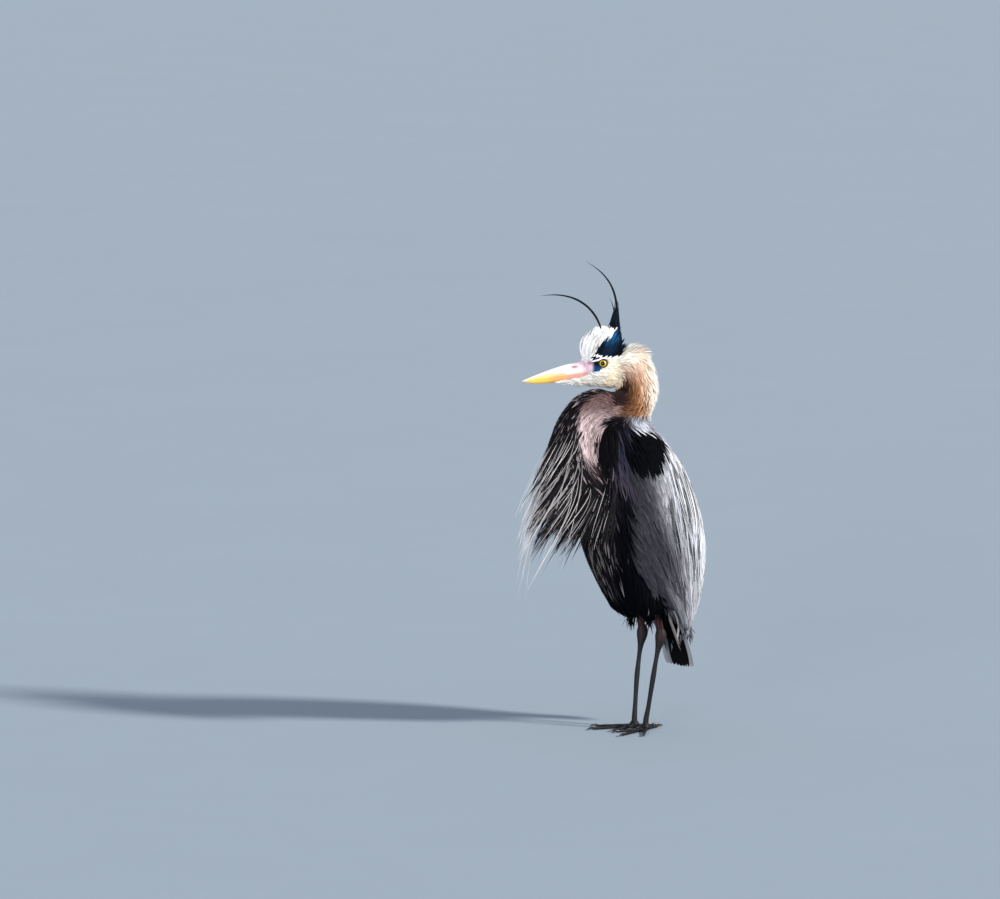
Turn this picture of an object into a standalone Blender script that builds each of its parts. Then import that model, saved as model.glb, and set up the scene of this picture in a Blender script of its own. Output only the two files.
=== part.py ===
"""Great blue heron, life size, resting upright: neck folded, head turned to its right.

The body faces -Y, its left side is +X and up is +Z. Sizes below are in millimetres, with
the point midway between the feet as their zero; STANCE moves that point to its place in
the part's own frame, whose origin is the middle of the foot of its bounding box.
"""

import math

import bmesh
import bpy
import numpy as np
from mathutils import Matrix, Vector

# Driving dimensions, millimetres
MM = 0.001
GAP = 0.3
GROWTH = 0.6
SHELL_LIMIT = 1.6
STANCE = (30.0, 59.5)

# Trunk with the folded wings over it: height, breast, back, half width
BODY_LEVELS = (
    (641, -88, 16, 28),
    (632, -104, 25, 42),
    (612, -116, 38, 58),
    (585, -124, 56, 72),
    (550, -126, 83, 81),
    (500, -140, 110, 86),
    (450, -148, 134, 88),
    (400, -142, 148, 86),
    (350, -121, 152, 82),
    (300, -93, 148, 76),
    (260, -64, 138, 68),
    (225, -36, 126, 60),
    (194, -8, 112, 50),
)
BODY_SQUARENESS = 2.4
BODY_SIDES = 24
BODY_RINGS = 15

WING_THICKNESS = 15
WING_PROUD = 4
OUTLINE_POINTS = 31
# Outline of the folded wing seen from its side: along the body, height
WING_OUTLINE = (
    (-56, 604),
    (-90, 560),
    (-84, 515),
    (-90, 470),
    (-88, 410),
    (-78, 362),
    (-48, 318),
    (-4, 280),
    (38, 240),
    (72, 206),
    (98, 194),
    (140, 214),
    (176, 300),
    (180, 400),
    (150, 462),
    (96, 522),
    (40, 576),
    (-10, 604),
)

TAIL_LENGTH = 190
TAIL_TIP_HEIGHT = 129
TAIL_BACK = 114
TAIL_HALF_WIDTH = 46
TAIL_THICKNESS = 9

# Neck from the head down to the breast: side, along, height, half width, half depth
NECK_PATH = (
    (-34, -45, 752, 21, 23),
    (-18, -24, 758, 29, 32),
    (-6, -7, 728, 34, 38.5),
    (-2, -14, 676, 36, 40.5),
    (-8, -53, 655, 38, 39),
    (-20, -108, 664, 39, 39),
    (-28, -149, 628, 41, 41),
    (-28, -163, 570, 44, 45),
    (-18, -138, 514, 45, 44),
    (0, -86, 478, 42, 36),
)
NECK_RINGS = 25
NECK_JOINTS = (0, 10, 16, 24)
NECK_SIDES = 14
NECK_COLOUR = (0.42, 0.34, 0.34)

# Head, in its own frame: forward along the bill, out to its left, up from the eyes' line
HEAD_TURN = math.radians(40)
EYE_LINE = (-46, -62, 755)
SKULL_LENGTH = 100
SKULL_HEIGHT = 74
SKULL_WIDTH = 48
SKULL_CENTRE = (-2, 0, -11)
EYE_RADIUS = 9.0
EYE_CENTRE = (0, 15.5, 0)
CHIN_REACH = 92

BILL_BASE = 38
BILL_TIP = (167, -38.8)
BILL_BASE_TOP = 3
CULMEN_DROOP = 1.4
BILL_BASE_MOUTH = -21
BILL_BASE_BOTTOM = -36.5
GONYS_DEPTH = 5.5
GONYS_PLACE = 1.9
BILL_HALF_WIDTH = 11

CROWN_SIDES = 12
CROWN_TIPS = (
    (32, 0, 68),
    (18, 4, 74),
    (2, -4, 78),
    (-12, 3, 77),
    (-30, -3, 72),
)
# Crest plumes: root, two handles, tip, all as forward, out, up
FRONT_PLUME = ((0, 3, 52), (8, 4, 112), (58, 5, 150), (132, 6, 135))
REAR_PLUME = ((-21, -2, 38), (-42, -3, 138), (-16, -3, 178), (38, -4, 207))
SHORT_PLUME = ((-21, 3, 60), (-27, 5, 100), (-20, 7, 120), (-11, 8, 134))
CREST_RADIUS = 2.2
CREST_ROOT_RADIUS = 10
CREST_ROOT_REACH = 0.4

# Breast plumes: root then tip, as side, along, height
BREAST_PLUMES = (
    ((-62, -186, 588), (-76, -226, 452)),
    ((-52, -198, 580), (-66, -246, 424)),
    ((-58, -190, 556), (-68, -274, 338)),
    ((-46, -200, 548), (-46, -270, 297)),
    ((-36, -204, 540), (-34, -262, 340)),
    ((-26, -202, 532), (-20, -246, 284)),
    ((-14, -198, 526), (-6, -226, 330)),
    ((-2, -190, 520), (8, -206, 352)),
    ((10, -178, 520), (20, -184, 376)),
    ((-60, -174, 530), (-72, -206, 372)),
    ((4, -172, 500), (26, -166, 400)),
)
PLUME_HALF_WIDTH = 12
PLUME_THICKNESS = 8

# Legs, left one; the right one is its mirror image a little further back
FOOT_SPREAD = 22
FOOT_STAGGER = 4
THIGH = (
    (31, -34, 330, 20),
    (36, -30, 306, 33),
    (36, -22, 274, 33.5),
    (34, -6, 246, 25),
    (33, 5, 226, 9),
)
SHANK = ((33, 6, 300, 8), (33, 19, 245, 7.5), (33, 30, 203, 8.5))
TARSUS = (
    (33, 31, 201, 10.5),
    (33, 30, 188, 11),
    (32, 25, 168, 7),
    (29, 13, 105, 5.6),
    (25, 5, 50, 4.8),
    (22, 0, 12, 6.2),
)
TOES = {
    "middle": (-18, 92, 5.2),
    "inner": (10, 68, 4.8),
    "outer": (-46, 80, 4.8),
    "hind": (164, 44, 4.8),
}
TOE_START = 4
TOE_END = 2.5
CLAW_LENGTH = {"inner": 13, "middle": 15, "outer": 12, "hind": 20}
SOLE_CUT = 0.82


def through(points, count):
    """Points spread along a smooth curve through the given rows, whatever their width."""
    rows = np.array(points, float)
    steps = np.linalg.norm(np.diff(rows[:, :3], axis=0), axis=1)
    knots = np.concatenate([[0.0], np.cumsum(steps)]) / steps.sum()
    slopes = np.gradient(rows, knots, axis=0)
    found = []
    for t in np.linspace(0.0, 1.0, count):
        i = min(np.searchsorted(knots, t, side="right") - 1, len(rows) - 2)
        span = knots[i + 1] - knots[i]
        s = (t - knots[i]) / span
        found.append(
            (2 * s**3 - 3 * s**2 + 1) * rows[i]
            + (s**3 - 2 * s**2 + s) * span * slopes[i]
            + (3 * s**2 - 2 * s**3) * rows[i + 1]
            + (s**3 - s**2) * span * slopes[i + 1]
        )
    return np.array(found)


def bezier(points, t):
    a, b, c, d = (Vector(p) for p in points)
    return a * (1 - t) ** 3 + b * 3 * t * (1 - t) ** 2 + c * 3 * t * t * (1 - t) + d * t**3


def placed(x, y, z):
    """A point of the bird, in millimetres, as a point of the part's frame, in metres."""
    return Vector((x + STANCE[0], y + STANCE[1], z)) * MM


def head_point(forward, out, up):
    """A point of the head's own frame as one of the bird's."""
    s, c = math.sin(HEAD_TURN), math.cos(HEAD_TURN)
    x, y, z = EYE_LINE
    return (x - forward * s + out * c, y - forward * c - out * s, z + up)


def clear_scene():
    for obj in list(bpy.data.objects):
        bpy.data.objects.remove(obj, do_unlink=True)


def material(name, colour, roughness=0.7):
    mat = bpy.data.materials.new(name)
    mat.use_nodes = True
    shader = mat.node_tree.nodes["Principled BSDF"]
    shader.inputs["Base Color"].default_value = (*colour, 1.0)
    shader.inputs["Roughness"].default_value = roughness
    return mat


def piece(name, bm, colour=(0.3, 0.32, 0.36), roughness=0.7, helper=False):
    """Turns a bmesh into a named object with its own finish."""
    bmesh.ops.recalc_face_normals(bm, faces=bm.faces)
    mesh = bpy.data.meshes.new(name)
    bm.to_mesh(mesh)
    bm.free()
    mesh.shade_smooth()
    mesh.set_sharp_from_angle(angle=math.radians(40))
    obj = bpy.data.objects.new(name, mesh)
    bpy.context.scene.collection.objects.link(obj)
    if helper:
        obj.hide_render = True
        obj.display_type = "WIRE"
    else:
        mesh.materials.append(material(name, colour, roughness))
    return obj


def ring(bm, points):
    verts = [bm.verts.new(p) for p in points]
    return [bm.edges.new((a, b)) for a, b in zip(verts, verts[1:] + verts[:1])]


def skin_rings(bm, rings):
    """Bridges each ring of points to the next and closes both ends."""
    loops = [ring(bm, points) for points in rings]
    for a, b in zip(loops, loops[1:]):
        bmesh.ops.bridge_loops(bm, edges=a + b)
    for loop in (loops[0], loops[-1]):
        bmesh.ops.edgeloop_fill(bm, edges=loop)


def tube(path, sides, ways=None):
    """A bmesh tube; each row of the path is x, y, z, half width, half depth in millimetres.

    The width lies level, square to the path, and the depth square to both. The rings face
    along the given ways, or along the path itself."""
    rows = np.array(path, float)
    if rows.shape[1] == 4:
        rows = np.column_stack([rows, rows[:, 3]])
    if ways is None:
        ways = np.gradient(rows[:, :3], axis=0)
    rings = []
    across = Vector((1, 0, 0))
    for row, way in zip(rows, ways):
        along = Vector(way).normalized()
        across = (across - along * across.dot(along)).normalized()
        deep = along.cross(across)
        centre = Vector(row[:3])
        turn = [2 * math.pi * k / sides for k in range(sides)]
        rings.append(
            [
                placed(*(centre + across * row[3] * math.cos(a) + deep * row[4] * math.sin(a)))
                for a in turn
            ]
        )
    bm = bmesh.new()
    skin_rings(bm, rings)
    return bm


def applied(obj):
    """Makes the object's modifiers part of its mesh."""
    graph = bpy.context.evaluated_depsgraph_get()
    finished = bpy.data.meshes.new_from_object(obj.evaluated_get(graph))
    obj.modifiers.clear()
    obj.data = finished
    return obj


def boolean(obj, other, operation):
    change = obj.modifiers.new(operation.lower(), "BOOLEAN")
    change.operation = operation
    change.object = other
    change.solver = "EXACT"
    change.use_self = True
    applied(obj)
    return obj


def grown(obj, by=GROWTH):
    """A hidden copy of the object, a little larger all round, that cuts room for it."""
    bm = bmesh.new()
    bm.from_mesh(obj.data)
    bm.normal_update()
    offsets = [vert.normal * min(vert.calc_shell_factor(), SHELL_LIMIT) * by * MM for vert in bm.verts]
    for vert, offset in zip(bm.verts, offsets):
        vert.co += offset
    return piece(obj.name + "_room", bm, helper=True)


def connected(bm):
    """The bmesh's vertices, grouped into its separate bodies."""
    left = set(bm.verts)
    bodies = []
    while left:
        body, edge = set(), [next(iter(left))]
        while edge:
            vert = edge.pop()
            if vert in body:
                continue
            body.add(vert)
            edge.extend(link.other_vert(vert) for link in vert.link_edges)
        left -= body
        bodies.append(body)
    return sorted(bodies, key=len)


def drop_offcuts(obj):
    """Leaves only the largest body of the object."""
    bm = bmesh.new()
    bm.from_mesh(obj.data)
    for body in connected(bm)[:-1]:
        bmesh.ops.delete(bm, geom=list(body), context="VERTS")
    bm.to_mesh(obj.data)
    bm.free()


def make_room(obj, *neighbours, by=GROWTH):
    """Cuts the object back so that it stops just short of each neighbour."""
    for neighbour in neighbours:
        cutter = grown(neighbour, by)
        boolean(obj, cutter, "DIFFERENCE")
        bpy.data.objects.remove(cutter)
    drop_offcuts(obj)
    return obj


def join(obj, *others):
    for other in others:
        boolean(obj, other, "UNION")
        bpy.data.objects.remove(other)
    return obj


def body_section(level, inset, proud):
    """One level slice of the body, as points round it, inset or proud of its true size."""
    rows = np.array(BODY_LEVELS[::-1], float)
    breast, back, half = (np.interp(level, rows[:, 0], rows[:, k]) for k in (1, 2, 3))
    centre = (breast + back) / 2
    depth = (back - breast) / 2 - inset + proud
    width = half - inset + proud
    power = 2 / BODY_SQUARENESS
    points = []
    for k in range(BODY_SIDES):
        turn = 2 * math.pi * k / BODY_SIDES
        s, c = math.sin(turn), math.cos(turn)
        x = width * math.copysign(abs(s) ** power, s)
        y = centre - depth * math.copysign(abs(c) ** power, c)
        points.append(placed(x, y, level))
    return points


def body_loft(name, inset=0.0, proud=0.0, helper=True):
    top, bottom = BODY_LEVELS[0][0], BODY_LEVELS[-1][0]
    rows = through([(0, 0, level[0]) for level in BODY_LEVELS], BODY_RINGS)[:, 2]
    levels = np.clip(rows, bottom, top)
    bm = bmesh.new()
    skin_rings(bm, [body_section(level, inset, proud) for level in levels])
    return piece(name, bm, helper=helper)


def side_prism(name, outline, inner, outer, grow=0.0):
    """A hidden block with the given outline seen from the side, from inner to outer."""
    rows = through([(0, *point) for point in (*outline, outline[0])], OUTLINE_POINTS)[:-1, 1:]
    centre = rows.mean(axis=0)
    ways = rows - centre
    rows = rows + ways / np.linalg.norm(ways, axis=1)[:, None] * grow
    bm = bmesh.new()
    skin_rings(bm, [[placed(x, y, z) for y, z in rows] for x in (inner, outer)])
    return piece(name, bm, helper=True)


def wing_solid(name, side, grow=0.0, helper=False):
    """A folded wing: a shell over the body's side and back, cut to the wing's outline."""
    shell = body_loft(name, proud=WING_PROUD + grow, helper=helper)
    core = body_loft(name + "_core", inset=WING_THICKNESS + grow)
    block = side_prism(name + "_edge", WING_OUTLINE, side * (GAP - grow), side * 140, grow)
    boolean(shell, block, "INTERSECT")
    boolean(shell, core, "DIFFERENCE")
    for helper_obj in (core, block):
        bpy.data.objects.remove(helper_obj)
    return shell


def make_tail():
    """The closed tail, a slightly hollow blade that hangs between the wing tips."""
    bm = bmesh.new()
    rings = []
    count = 12
    for t in np.linspace(0, 1, 6):
        height = TAIL_TIP_HEIGHT + TAIL_LENGTH * t
        half = TAIL_HALF_WIDTH * (1 - 0.42 * t) * (0.9 + 0.1 * min(1, 8 * t))
        thick = TAIL_THICKNESS / 2 * (1 + 0.9 * t)
        rings.append(
            [
                placed(
                    half * math.cos(2 * math.pi * k / count),
                    TAIL_BACK
                    - 6 * t
                    - 6 * math.cos(2 * math.pi * k / count) ** 2
                    + thick * math.sin(2 * math.pi * k / count),
                    height,
                )
                for k in range(count)
            ]
        )
    skin_rings(bm, rings)
    return piece("tail", bm, (0.12, 0.13, 0.16))


def make_trunk(tail, thighs):
    trunk = body_loft("trunk", helper=False)
    under = (
        (-120, 268),
        (-50, 246),
        (-10, 246),
        (30, 262),
        (64, 270),
        (98, 264),
        (140, 252),
        (220, 252),
        (220, 150),
        (-120, 150),
    )
    bm = bmesh.new()
    skin_rings(bm, [[placed(x, y, z) for y, z in under] for x in (-150, 150)])
    block = piece("under_body", bm, helper=True)
    boolean(trunk, block, "DIFFERENCE")
    bpy.data.objects.remove(block)
    for side in (-1, 1):
        pocket = wing_solid("pocket", side, grow=GROWTH, helper=True)
        boolean(trunk, pocket, "DIFFERENCE")
        bpy.data.objects.remove(pocket)
    make_room(trunk, tail, *thighs)
    return trunk


def make_neck(head, trunk):
    """The folded neck in three lengths, parted by thin cuts."""
    names = ("neck_upper", "neck_middle", "neck_lower")
    whole = through(NECK_PATH, NECK_RINGS)
    ways = np.gradient(whole[:, :3], axis=0)
    ways /= np.linalg.norm(ways, axis=1)[:, None]
    pieces = []
    for name, first, last in zip(names, NECK_JOINTS, NECK_JOINTS[1:]):
        rows = whole[first : last + 1].copy()
        if pieces:
            rows[0, :3] += ways[first] * GAP * 2
        pieces.append(piece(name, tube(rows, NECK_SIDES, ways[first : last + 1]), NECK_COLOUR))
        make_room(pieces[-1], head, trunk)
    return pieces


def ellipsoid(centre, radii, turned=0.0, segments=14, rings=9):
    """A bmesh ball stretched to the given radii and turned about the upright."""
    bm = bmesh.new()
    bmesh.ops.create_uvsphere(bm, u_segments=segments, v_segments=rings, radius=1.0)
    shape = (
        Matrix.Translation(placed(*centre))
        @ Matrix.Rotation(turned, 4, "Z")
        @ Matrix.Diagonal((*(r * MM for r in radii), 1.0))
    )
    bmesh.ops.transform(bm, matrix=shape, verts=bm.verts)
    return bm


def bill_height(forward, base):
    """How high the culmen, the mouth line or the lower edge runs, that far along the bill."""
    t = (forward - BILL_BASE) / (BILL_TIP[0] - BILL_BASE)
    if base == "culmen":
        return BILL_BASE_TOP + (BILL_TIP[1] - BILL_BASE_TOP) * t**CULMEN_DROOP
    if base == "mouth":
        return BILL_BASE_MOUTH + (BILL_TIP[1] - BILL_BASE_MOUTH) * t
    keel = GONYS_DEPTH * math.sin(math.pi * min(1, t**GONYS_PLACE))
    return BILL_BASE_BOTTOM + (BILL_TIP[1] - BILL_BASE_BOTTOM) * t - keel


def bill_half(name, upper):
    """One half of the bill, from its feathered base to the point they share."""
    side = GAP if upper else -GAP
    rings = []
    for t in (0, 0.12, 0.27, 0.42, 0.57, 0.72, 0.85, 0.94, 1.0):
        forward = BILL_BASE + (BILL_TIP[0] - BILL_BASE) * t
        mouth = bill_height(forward, "mouth") + side / 2
        edge = bill_height(forward, "culmen" if upper else "gonys")
        least = 0.8 if upper else -0.8
        height = max(edge - mouth, least) if upper else min(edge - mouth, least)
        half = BILL_HALF_WIDTH * (1 - t) ** 0.75 + 0.5
        points = []
        for k in range(9):
            turn = math.pi * k / 8
            points.append(
                placed(
                    *head_point(
                        forward,
                        half * math.cos(turn),
                        mouth + height * math.sin(turn) ** 0.85,
                    )
                )
            )
        rings.append(points)
    bm = bmesh.new()
    skin_rings(bm, rings)
    return piece(name, bm, (0.86, 0.66, 0.56) if upper else (0.9, 0.55, 0.2), 0.4)


def make_eye(name, side):
    forward, out, up = EYE_CENTRE
    centre = head_point(forward, side * out, up)
    bm = ellipsoid(centre, (EYE_RADIUS,) * 3, HEAD_TURN, segments=10, rings=7)
    return piece(name, bm, (0.85, 0.65, 0.08), 0.1)


def make_head(bill, eyes):
    """The feathered head: skull, cheeks, chin under the bill and the raised crown."""
    turned = -HEAD_TURN
    radii = (SKULL_WIDTH / 2, SKULL_LENGTH / 2, SKULL_HEIGHT / 2)
    head = piece("head", ellipsoid(head_point(*SKULL_CENTRE), radii, turned), (0.9, 0.88, 0.8))
    chin_rows = [
        (*head_point(-20, 0, -30), 20, 22),
        (*head_point(20, 0, -30), 15, 17),
        (*head_point(50, 0, -39), 8.5, 10),
        (*head_point(74, 0, -42.5), 5, 5.5),
        (*head_point(CHIN_REACH, 0, -43), 1.5, 1.5),
    ]
    brow_rows = [
        (*head_point(-10, 0, 8), 18, 20),
        (*head_point(22, 0, 6), 14, 14),
        (*head_point(46, 0, 0), 8, 8),
        (*head_point(52, 0, -1), 3, 4),
    ]
    chin = piece("chin", tube(through(chin_rows, 8), 10), helper=True)
    brow = piece("brow", tube(through(brow_rows, 5), 10), helper=True)
    crown_rows = [
        (*head_point(0, 0, 6), 20, 44),
        (*head_point(0, 0, 28), 17, 42),
        (*head_point(-1, 0, 48), 12, 36),
        (*head_point(-2, 0, 62), 6, 27),
    ]
    bm = bmesh.new()
    rings = []
    s, c = math.sin(HEAD_TURN), math.cos(HEAD_TURN)
    for x, y, z, half, depth in through(crown_rows, 6):
        points = []
        for k in range(CROWN_SIDES):
            turn = 2 * math.pi * k / CROWN_SIDES
            across, along = half * math.cos(turn), depth * math.sin(turn)
            points.append(placed(x - along * s + across * c, y - along * c - across * s, z))
        rings.append(points)
    skin_rings(bm, rings)
    crown = piece("crown", bm, helper=True)
    spikes = []
    for number, (forward, out, up) in enumerate(CROWN_TIPS):
        root = (forward * 0.75 - 1, out * 0.5, up - 30)
        rows = [
            (*head_point(*root), 5, 6.5),
            (*head_point((root[0] + forward) / 2, out, up - 12), 3.4, 4.6),
            (*head_point(forward, out, up), 0.5, 0.5),
        ]
        spikes.append(piece(f"spike_{number}", tube(rows, 4), helper=True))
    join(head, chin, brow, crown, *spikes)
    make_room(head, *bill, *eyes)
    return head


def crest_plume(name, points, root_radius=0, helper=False):
    """A long thin curved plume that tapers to its tip."""
    rows = []
    for t in np.linspace(0, 1, 11):
        root = root_radius * max(0, 1 - t / CREST_ROOT_REACH) ** 1.6
        radius = CREST_RADIUS * (1 - t) ** 0.7 + 0.45 + root
        rows.append((*head_point(*bezier(points, t)), radius))
    return piece(name, tube(rows, 5), (0.02, 0.02, 0.03), 0.5, helper)


def make_crest(head):
    """The raised crest: one plume over the forehead, and a pair from one root behind it."""
    front = crest_plume("crest_plume_front", FRONT_PLUME)
    rear = crest_plume("crest_plumes_rear", REAR_PLUME, CREST_ROOT_RADIUS)
    join(rear, crest_plume("short", SHORT_PLUME, helper=True))
    make_room(rear, head, by=2 * GROWTH)
    make_room(front, head, rear, by=2 * GROWTH)


def make_breast_plumes(neighbours):
    """The hanging plumes of the lower neck: a core that long pointed locks grow from."""
    core_rows = (
        (-32, -182, 604, 30, 20),
        (-30, -194, 574, 40, 28),
        (-27, -198, 530, 44, 28),
        (-24, -198, 480, 40, 26),
        (-22, -198, 430, 29, 20),
        (-22, -204, 388, 14, 10),
        (-22, -210, 366, 4, 3),
    )
    plumes = piece("breast_plumes", tube(through(core_rows, 8), 10), (0.5, 0.48, 0.5))
    locks = []
    for number, (root, tip) in enumerate(BREAST_PLUMES):
        root, tip = Vector(root), Vector(tip)
        rows = []
        for t in np.linspace(0, 1, 4):
            sag = Vector((0, -14, 0)) * math.sin(math.pi * t) * (1 - t)
            point = root.lerp(tip, t) + sag
            fade = math.sin(math.pi * (0.22 + 0.78 * t)) ** 0.8
            rows.append((*point, PLUME_HALF_WIDTH * fade + 0.4, PLUME_THICKNESS * fade + 0.4))
        locks.append(piece(f"lock_{number}", tube(rows, 4), helper=True))
    join(plumes, *locks)
    make_room(plumes, *neighbours)
    return plumes


def leg_rows(rows, side):
    """A leg's path for one side; the right leg stands a little further back."""
    shift = -FOOT_STAGGER if side > 0 else FOOT_STAGGER
    return [(side * x, y + shift, *rest) for x, y, *rest in rows]


def make_thigh(name, side):
    rows = through(leg_rows(THIGH, side), 8)
    return piece(name, tube(rows, 10), (0.03, 0.03, 0.04), 0.9)


def make_shank(name, side, *neighbours):
    shank = piece(name, tube(through(leg_rows(SHANK, side), 4), 8), (0.12, 0.06, 0.05), 0.6)
    make_room(shank, *neighbours)
    return shank


def make_tarsus(name, side):
    rows = through(leg_rows(TARSUS, side), 10)
    rows[0, 3:] *= 0.7
    return piece(name, tube(rows, 8), (0.1, 0.1, 0.11), 0.6)


def flatten_sole(bm):
    """Cuts off what is below the floor and closes the flat that this leaves."""
    everything = bm.verts[:] + bm.edges[:] + bm.faces[:]
    bmesh.ops.bisect_plane(
        bm, geom=everything, plane_co=(0, 0, 0), plane_no=(0, 0, -1), clear_outer=True
    )
    rim = [edge for edge in bm.edges if edge.is_boundary]
    bmesh.ops.edgeloop_fill(bm, edges=rim)


def foot_centre(side):
    shift = -FOOT_STAGGER if side > 0 else FOOT_STAGGER
    return (side * FOOT_SPREAD, shift, 7.5)


def foot_ball(side, grow=0.0):
    return ellipsoid(foot_centre(side), (9.5 + grow, 10.5 + grow, 9.0 + grow), segments=10, rings=6)


def make_foot(name, side, tarsus):
    bm = foot_ball(side)
    flatten_sole(bm)
    foot = piece(name, bm, (0.1, 0.1, 0.11), 0.6)
    make_room(foot, tarsus)
    return foot


def toe_way(side, angle):
    """The level direction a toe points in, with angles opening towards the body's middle."""
    turn = math.radians(angle)
    return Vector((-side * math.sin(turn), -math.cos(turn), 0))


def toe_tube(side, angle, length, radius, grow=0.0):
    """A toe that lies on the floor, swollen at its joints, before its sole is cut flat."""
    x, y, _ = foot_centre(side)
    way = toe_way(side, angle)
    rows = []
    for t in np.linspace(0, 1, 6):
        swell = 1 + 0.10 * math.cos(2 * math.pi * 2.5 * t)
        girth = radius * (1 - 0.38 * t) * swell
        point = Vector((x, y, 0)) + way * (TOE_START + length * t)
        rows.append((point.x, point.y, girth * SOLE_CUT, girth + grow, girth + grow))
    end = point + way * TOE_END
    rows.append((end.x, end.y, girth * 0.9, girth * 0.5 + grow, girth * 0.5 + grow))
    return tube(rows, 8, [way] * len(rows))


def make_toes(side_name, side, tarsus):
    """The foot, its toes, each cut short of those before it, and their claws."""
    make_foot("foot_" + side_name, side, tarsus)
    rooms = [piece("foot_room", foot_ball(side, GROWTH), helper=True)]
    for toe_name, shape in TOES.items():
        bm = toe_tube(side, *shape)
        flatten_sole(bm)
        toe = piece(f"toe_{toe_name}_{side_name}", bm, (0.1, 0.1, 0.11), 0.6)
        for room in rooms:
            boolean(toe, room, "DIFFERENCE")
        drop_offcuts(toe)
        rooms.append(piece("toe_room", toe_tube(side, *shape, GROWTH), helper=True))
        make_claw(f"claw_{toe_name}_{side_name}", side, *shape, CLAW_LENGTH[toe_name])
    for room in rooms:
        bpy.data.objects.remove(room)


def make_claw(name, side, angle, length, radius, claw_length):
    """A curved claw that starts just past the toe's end and stays clear of the floor."""
    x, y, _ = foot_centre(side)
    way = toe_way(side, angle)
    start = Vector((x, y, 0)) + way * (TOE_START + length + TOE_END + GAP)
    rows = []
    for t in np.linspace(0, 1, 5):
        point = start + way * (claw_length * t)
        height = 3.6 + 1.6 * math.sin(math.pi * t) - 2.2 * t**2
        girth = radius * 0.42 * (1 - t) ** 0.7 + 0.35
        rows.append((point.x, point.y, height, girth))
    return piece(name, tube(rows, 5, [way] * len(rows)), (0.06, 0.05, 0.05), 0.4)


def make_leg(side_name, side, thigh, trunk):
    tarsus = make_tarsus("tarsus_" + side_name, side)
    make_shank("shank_" + side_name, side, thigh, trunk, tarsus)
    make_toes(side_name, side, tarsus)


def main():
    clear_scene()
    tail = make_tail()
    thighs = [make_thigh("thigh_left", 1), make_thigh("thigh_right", -1)]
    trunk = make_trunk(tail, thighs)
    wings = [wing_solid("wing_left", 1), wing_solid("wing_right", -1)]
    for wing in wings:
        wing.data.materials.append(material(wing.name, (0.5, 0.52, 0.57)))
        make_room(wing, tail, *thighs)
    bill = [bill_half("bill_upper", True), bill_half("bill_lower", False)]
    eyes = [make_eye("eye_left", 1), make_eye("eye_right", -1)]
    head = make_head(bill, eyes)
    neck = make_neck(head, trunk)
    for wing in wings:
        make_room(wing, *neck)
    make_breast_plumes([trunk, *neck, *wings])
    make_crest(head)
    make_leg("left", 1, thighs[0], trunk)
    make_leg("right", -1, thighs[1], trunk)


main()
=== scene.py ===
"""The looks of a life-size great blue heron: skin, plumage, bill, eyes, legs and a plain stage.

Sizes are in millimetres in the bird's own measure: x to its left, y towards its tail and z up
from the floor midway between its feet. The head has its own: forward along the bill, out to
its left and up from the eyes. Both become metres in the part's frame as a piece is made.
"""

import math

import bmesh
import bpy
import numpy as np
from mathutils import Matrix, Vector
from mathutils.bvhtree import BVHTree
from mathutils.kdtree import KDTree


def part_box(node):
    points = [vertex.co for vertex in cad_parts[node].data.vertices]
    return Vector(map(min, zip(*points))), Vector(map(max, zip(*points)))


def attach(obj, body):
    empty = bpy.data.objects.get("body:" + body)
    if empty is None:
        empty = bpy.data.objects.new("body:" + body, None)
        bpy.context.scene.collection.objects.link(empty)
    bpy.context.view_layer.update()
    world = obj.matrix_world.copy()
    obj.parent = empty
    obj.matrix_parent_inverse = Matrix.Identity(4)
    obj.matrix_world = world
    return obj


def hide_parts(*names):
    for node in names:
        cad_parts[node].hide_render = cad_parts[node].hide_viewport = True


bl_info = {
    "name": "Great blue heron",
    "version": (1, 0, 0),
    "blender": (4, 5, 0),
    "location": "3D View > Sidebar > Heron",
    "description": "Skin, plumage, bill, eyes and legs of a life-size heron round its solid model",
    "category": "Object",
}

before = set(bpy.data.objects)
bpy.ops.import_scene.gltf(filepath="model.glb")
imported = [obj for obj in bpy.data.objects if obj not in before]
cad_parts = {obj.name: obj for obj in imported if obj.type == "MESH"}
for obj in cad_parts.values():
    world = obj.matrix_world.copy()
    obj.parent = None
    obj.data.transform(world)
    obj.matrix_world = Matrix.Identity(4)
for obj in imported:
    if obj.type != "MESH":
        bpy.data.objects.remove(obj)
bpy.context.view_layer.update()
BODY = "root"
MM = 0.001
CM = 0.1
SEED = 7
# What each maker adds to the seed for its own draws
COAT_DRAWS, WING_DRAWS, MANTLE_DRAWS, BREAST_DRAWS = 10, 30, 40, 50
CROWN_DRAWS, CHIN_DRAWS, CREST_DRAWS, TAIL_DRAWS = 55, 57, 60, 70

FLESH = (
    "head",
    "neck_upper",
    "neck_middle",
    "neck_lower",
    "trunk",
    "wing_left",
    "wing_right",
    "thigh_left",
    "thigh_right",
)
SIDES = ((1, "left"), (-1, "right"))
BAKE_MAP = "OFBake"
VANE_MAP = "Vane"
PLUMAGE = "Plumage"
# Share of the unwrap's width that one feather covers
TUFT_PATCH = 0.003
# Degrees between faces past which an edge shows
EDGE_ANGLE = 50


# ---------------------------------------------------------------- places


def middle(*nodes):
    """The middle of the box round these nodes."""
    corners = [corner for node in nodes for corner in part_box(node)]
    low = Vector(min(corner[k] for corner in corners) for k in range(3))
    high = Vector(max(corner[k] for corner in corners) for k in range(3))
    return (low + high) / 2


FOOTING = middle("foot_left", "foot_right")
FOOTING.z = 0
EYES = middle("eye_left", "eye_right")
HEAD_OUT = (middle("eye_left") - middle("eye_right")).normalized()
HEAD_FORWARD = Vector((HEAD_OUT.y, -HEAD_OUT.x, 0))
HEAD_UP = Vector((0, 0, 1))
HEAD_AXES = np.array([HEAD_FORWARD, HEAD_OUT, HEAD_UP])


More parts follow.
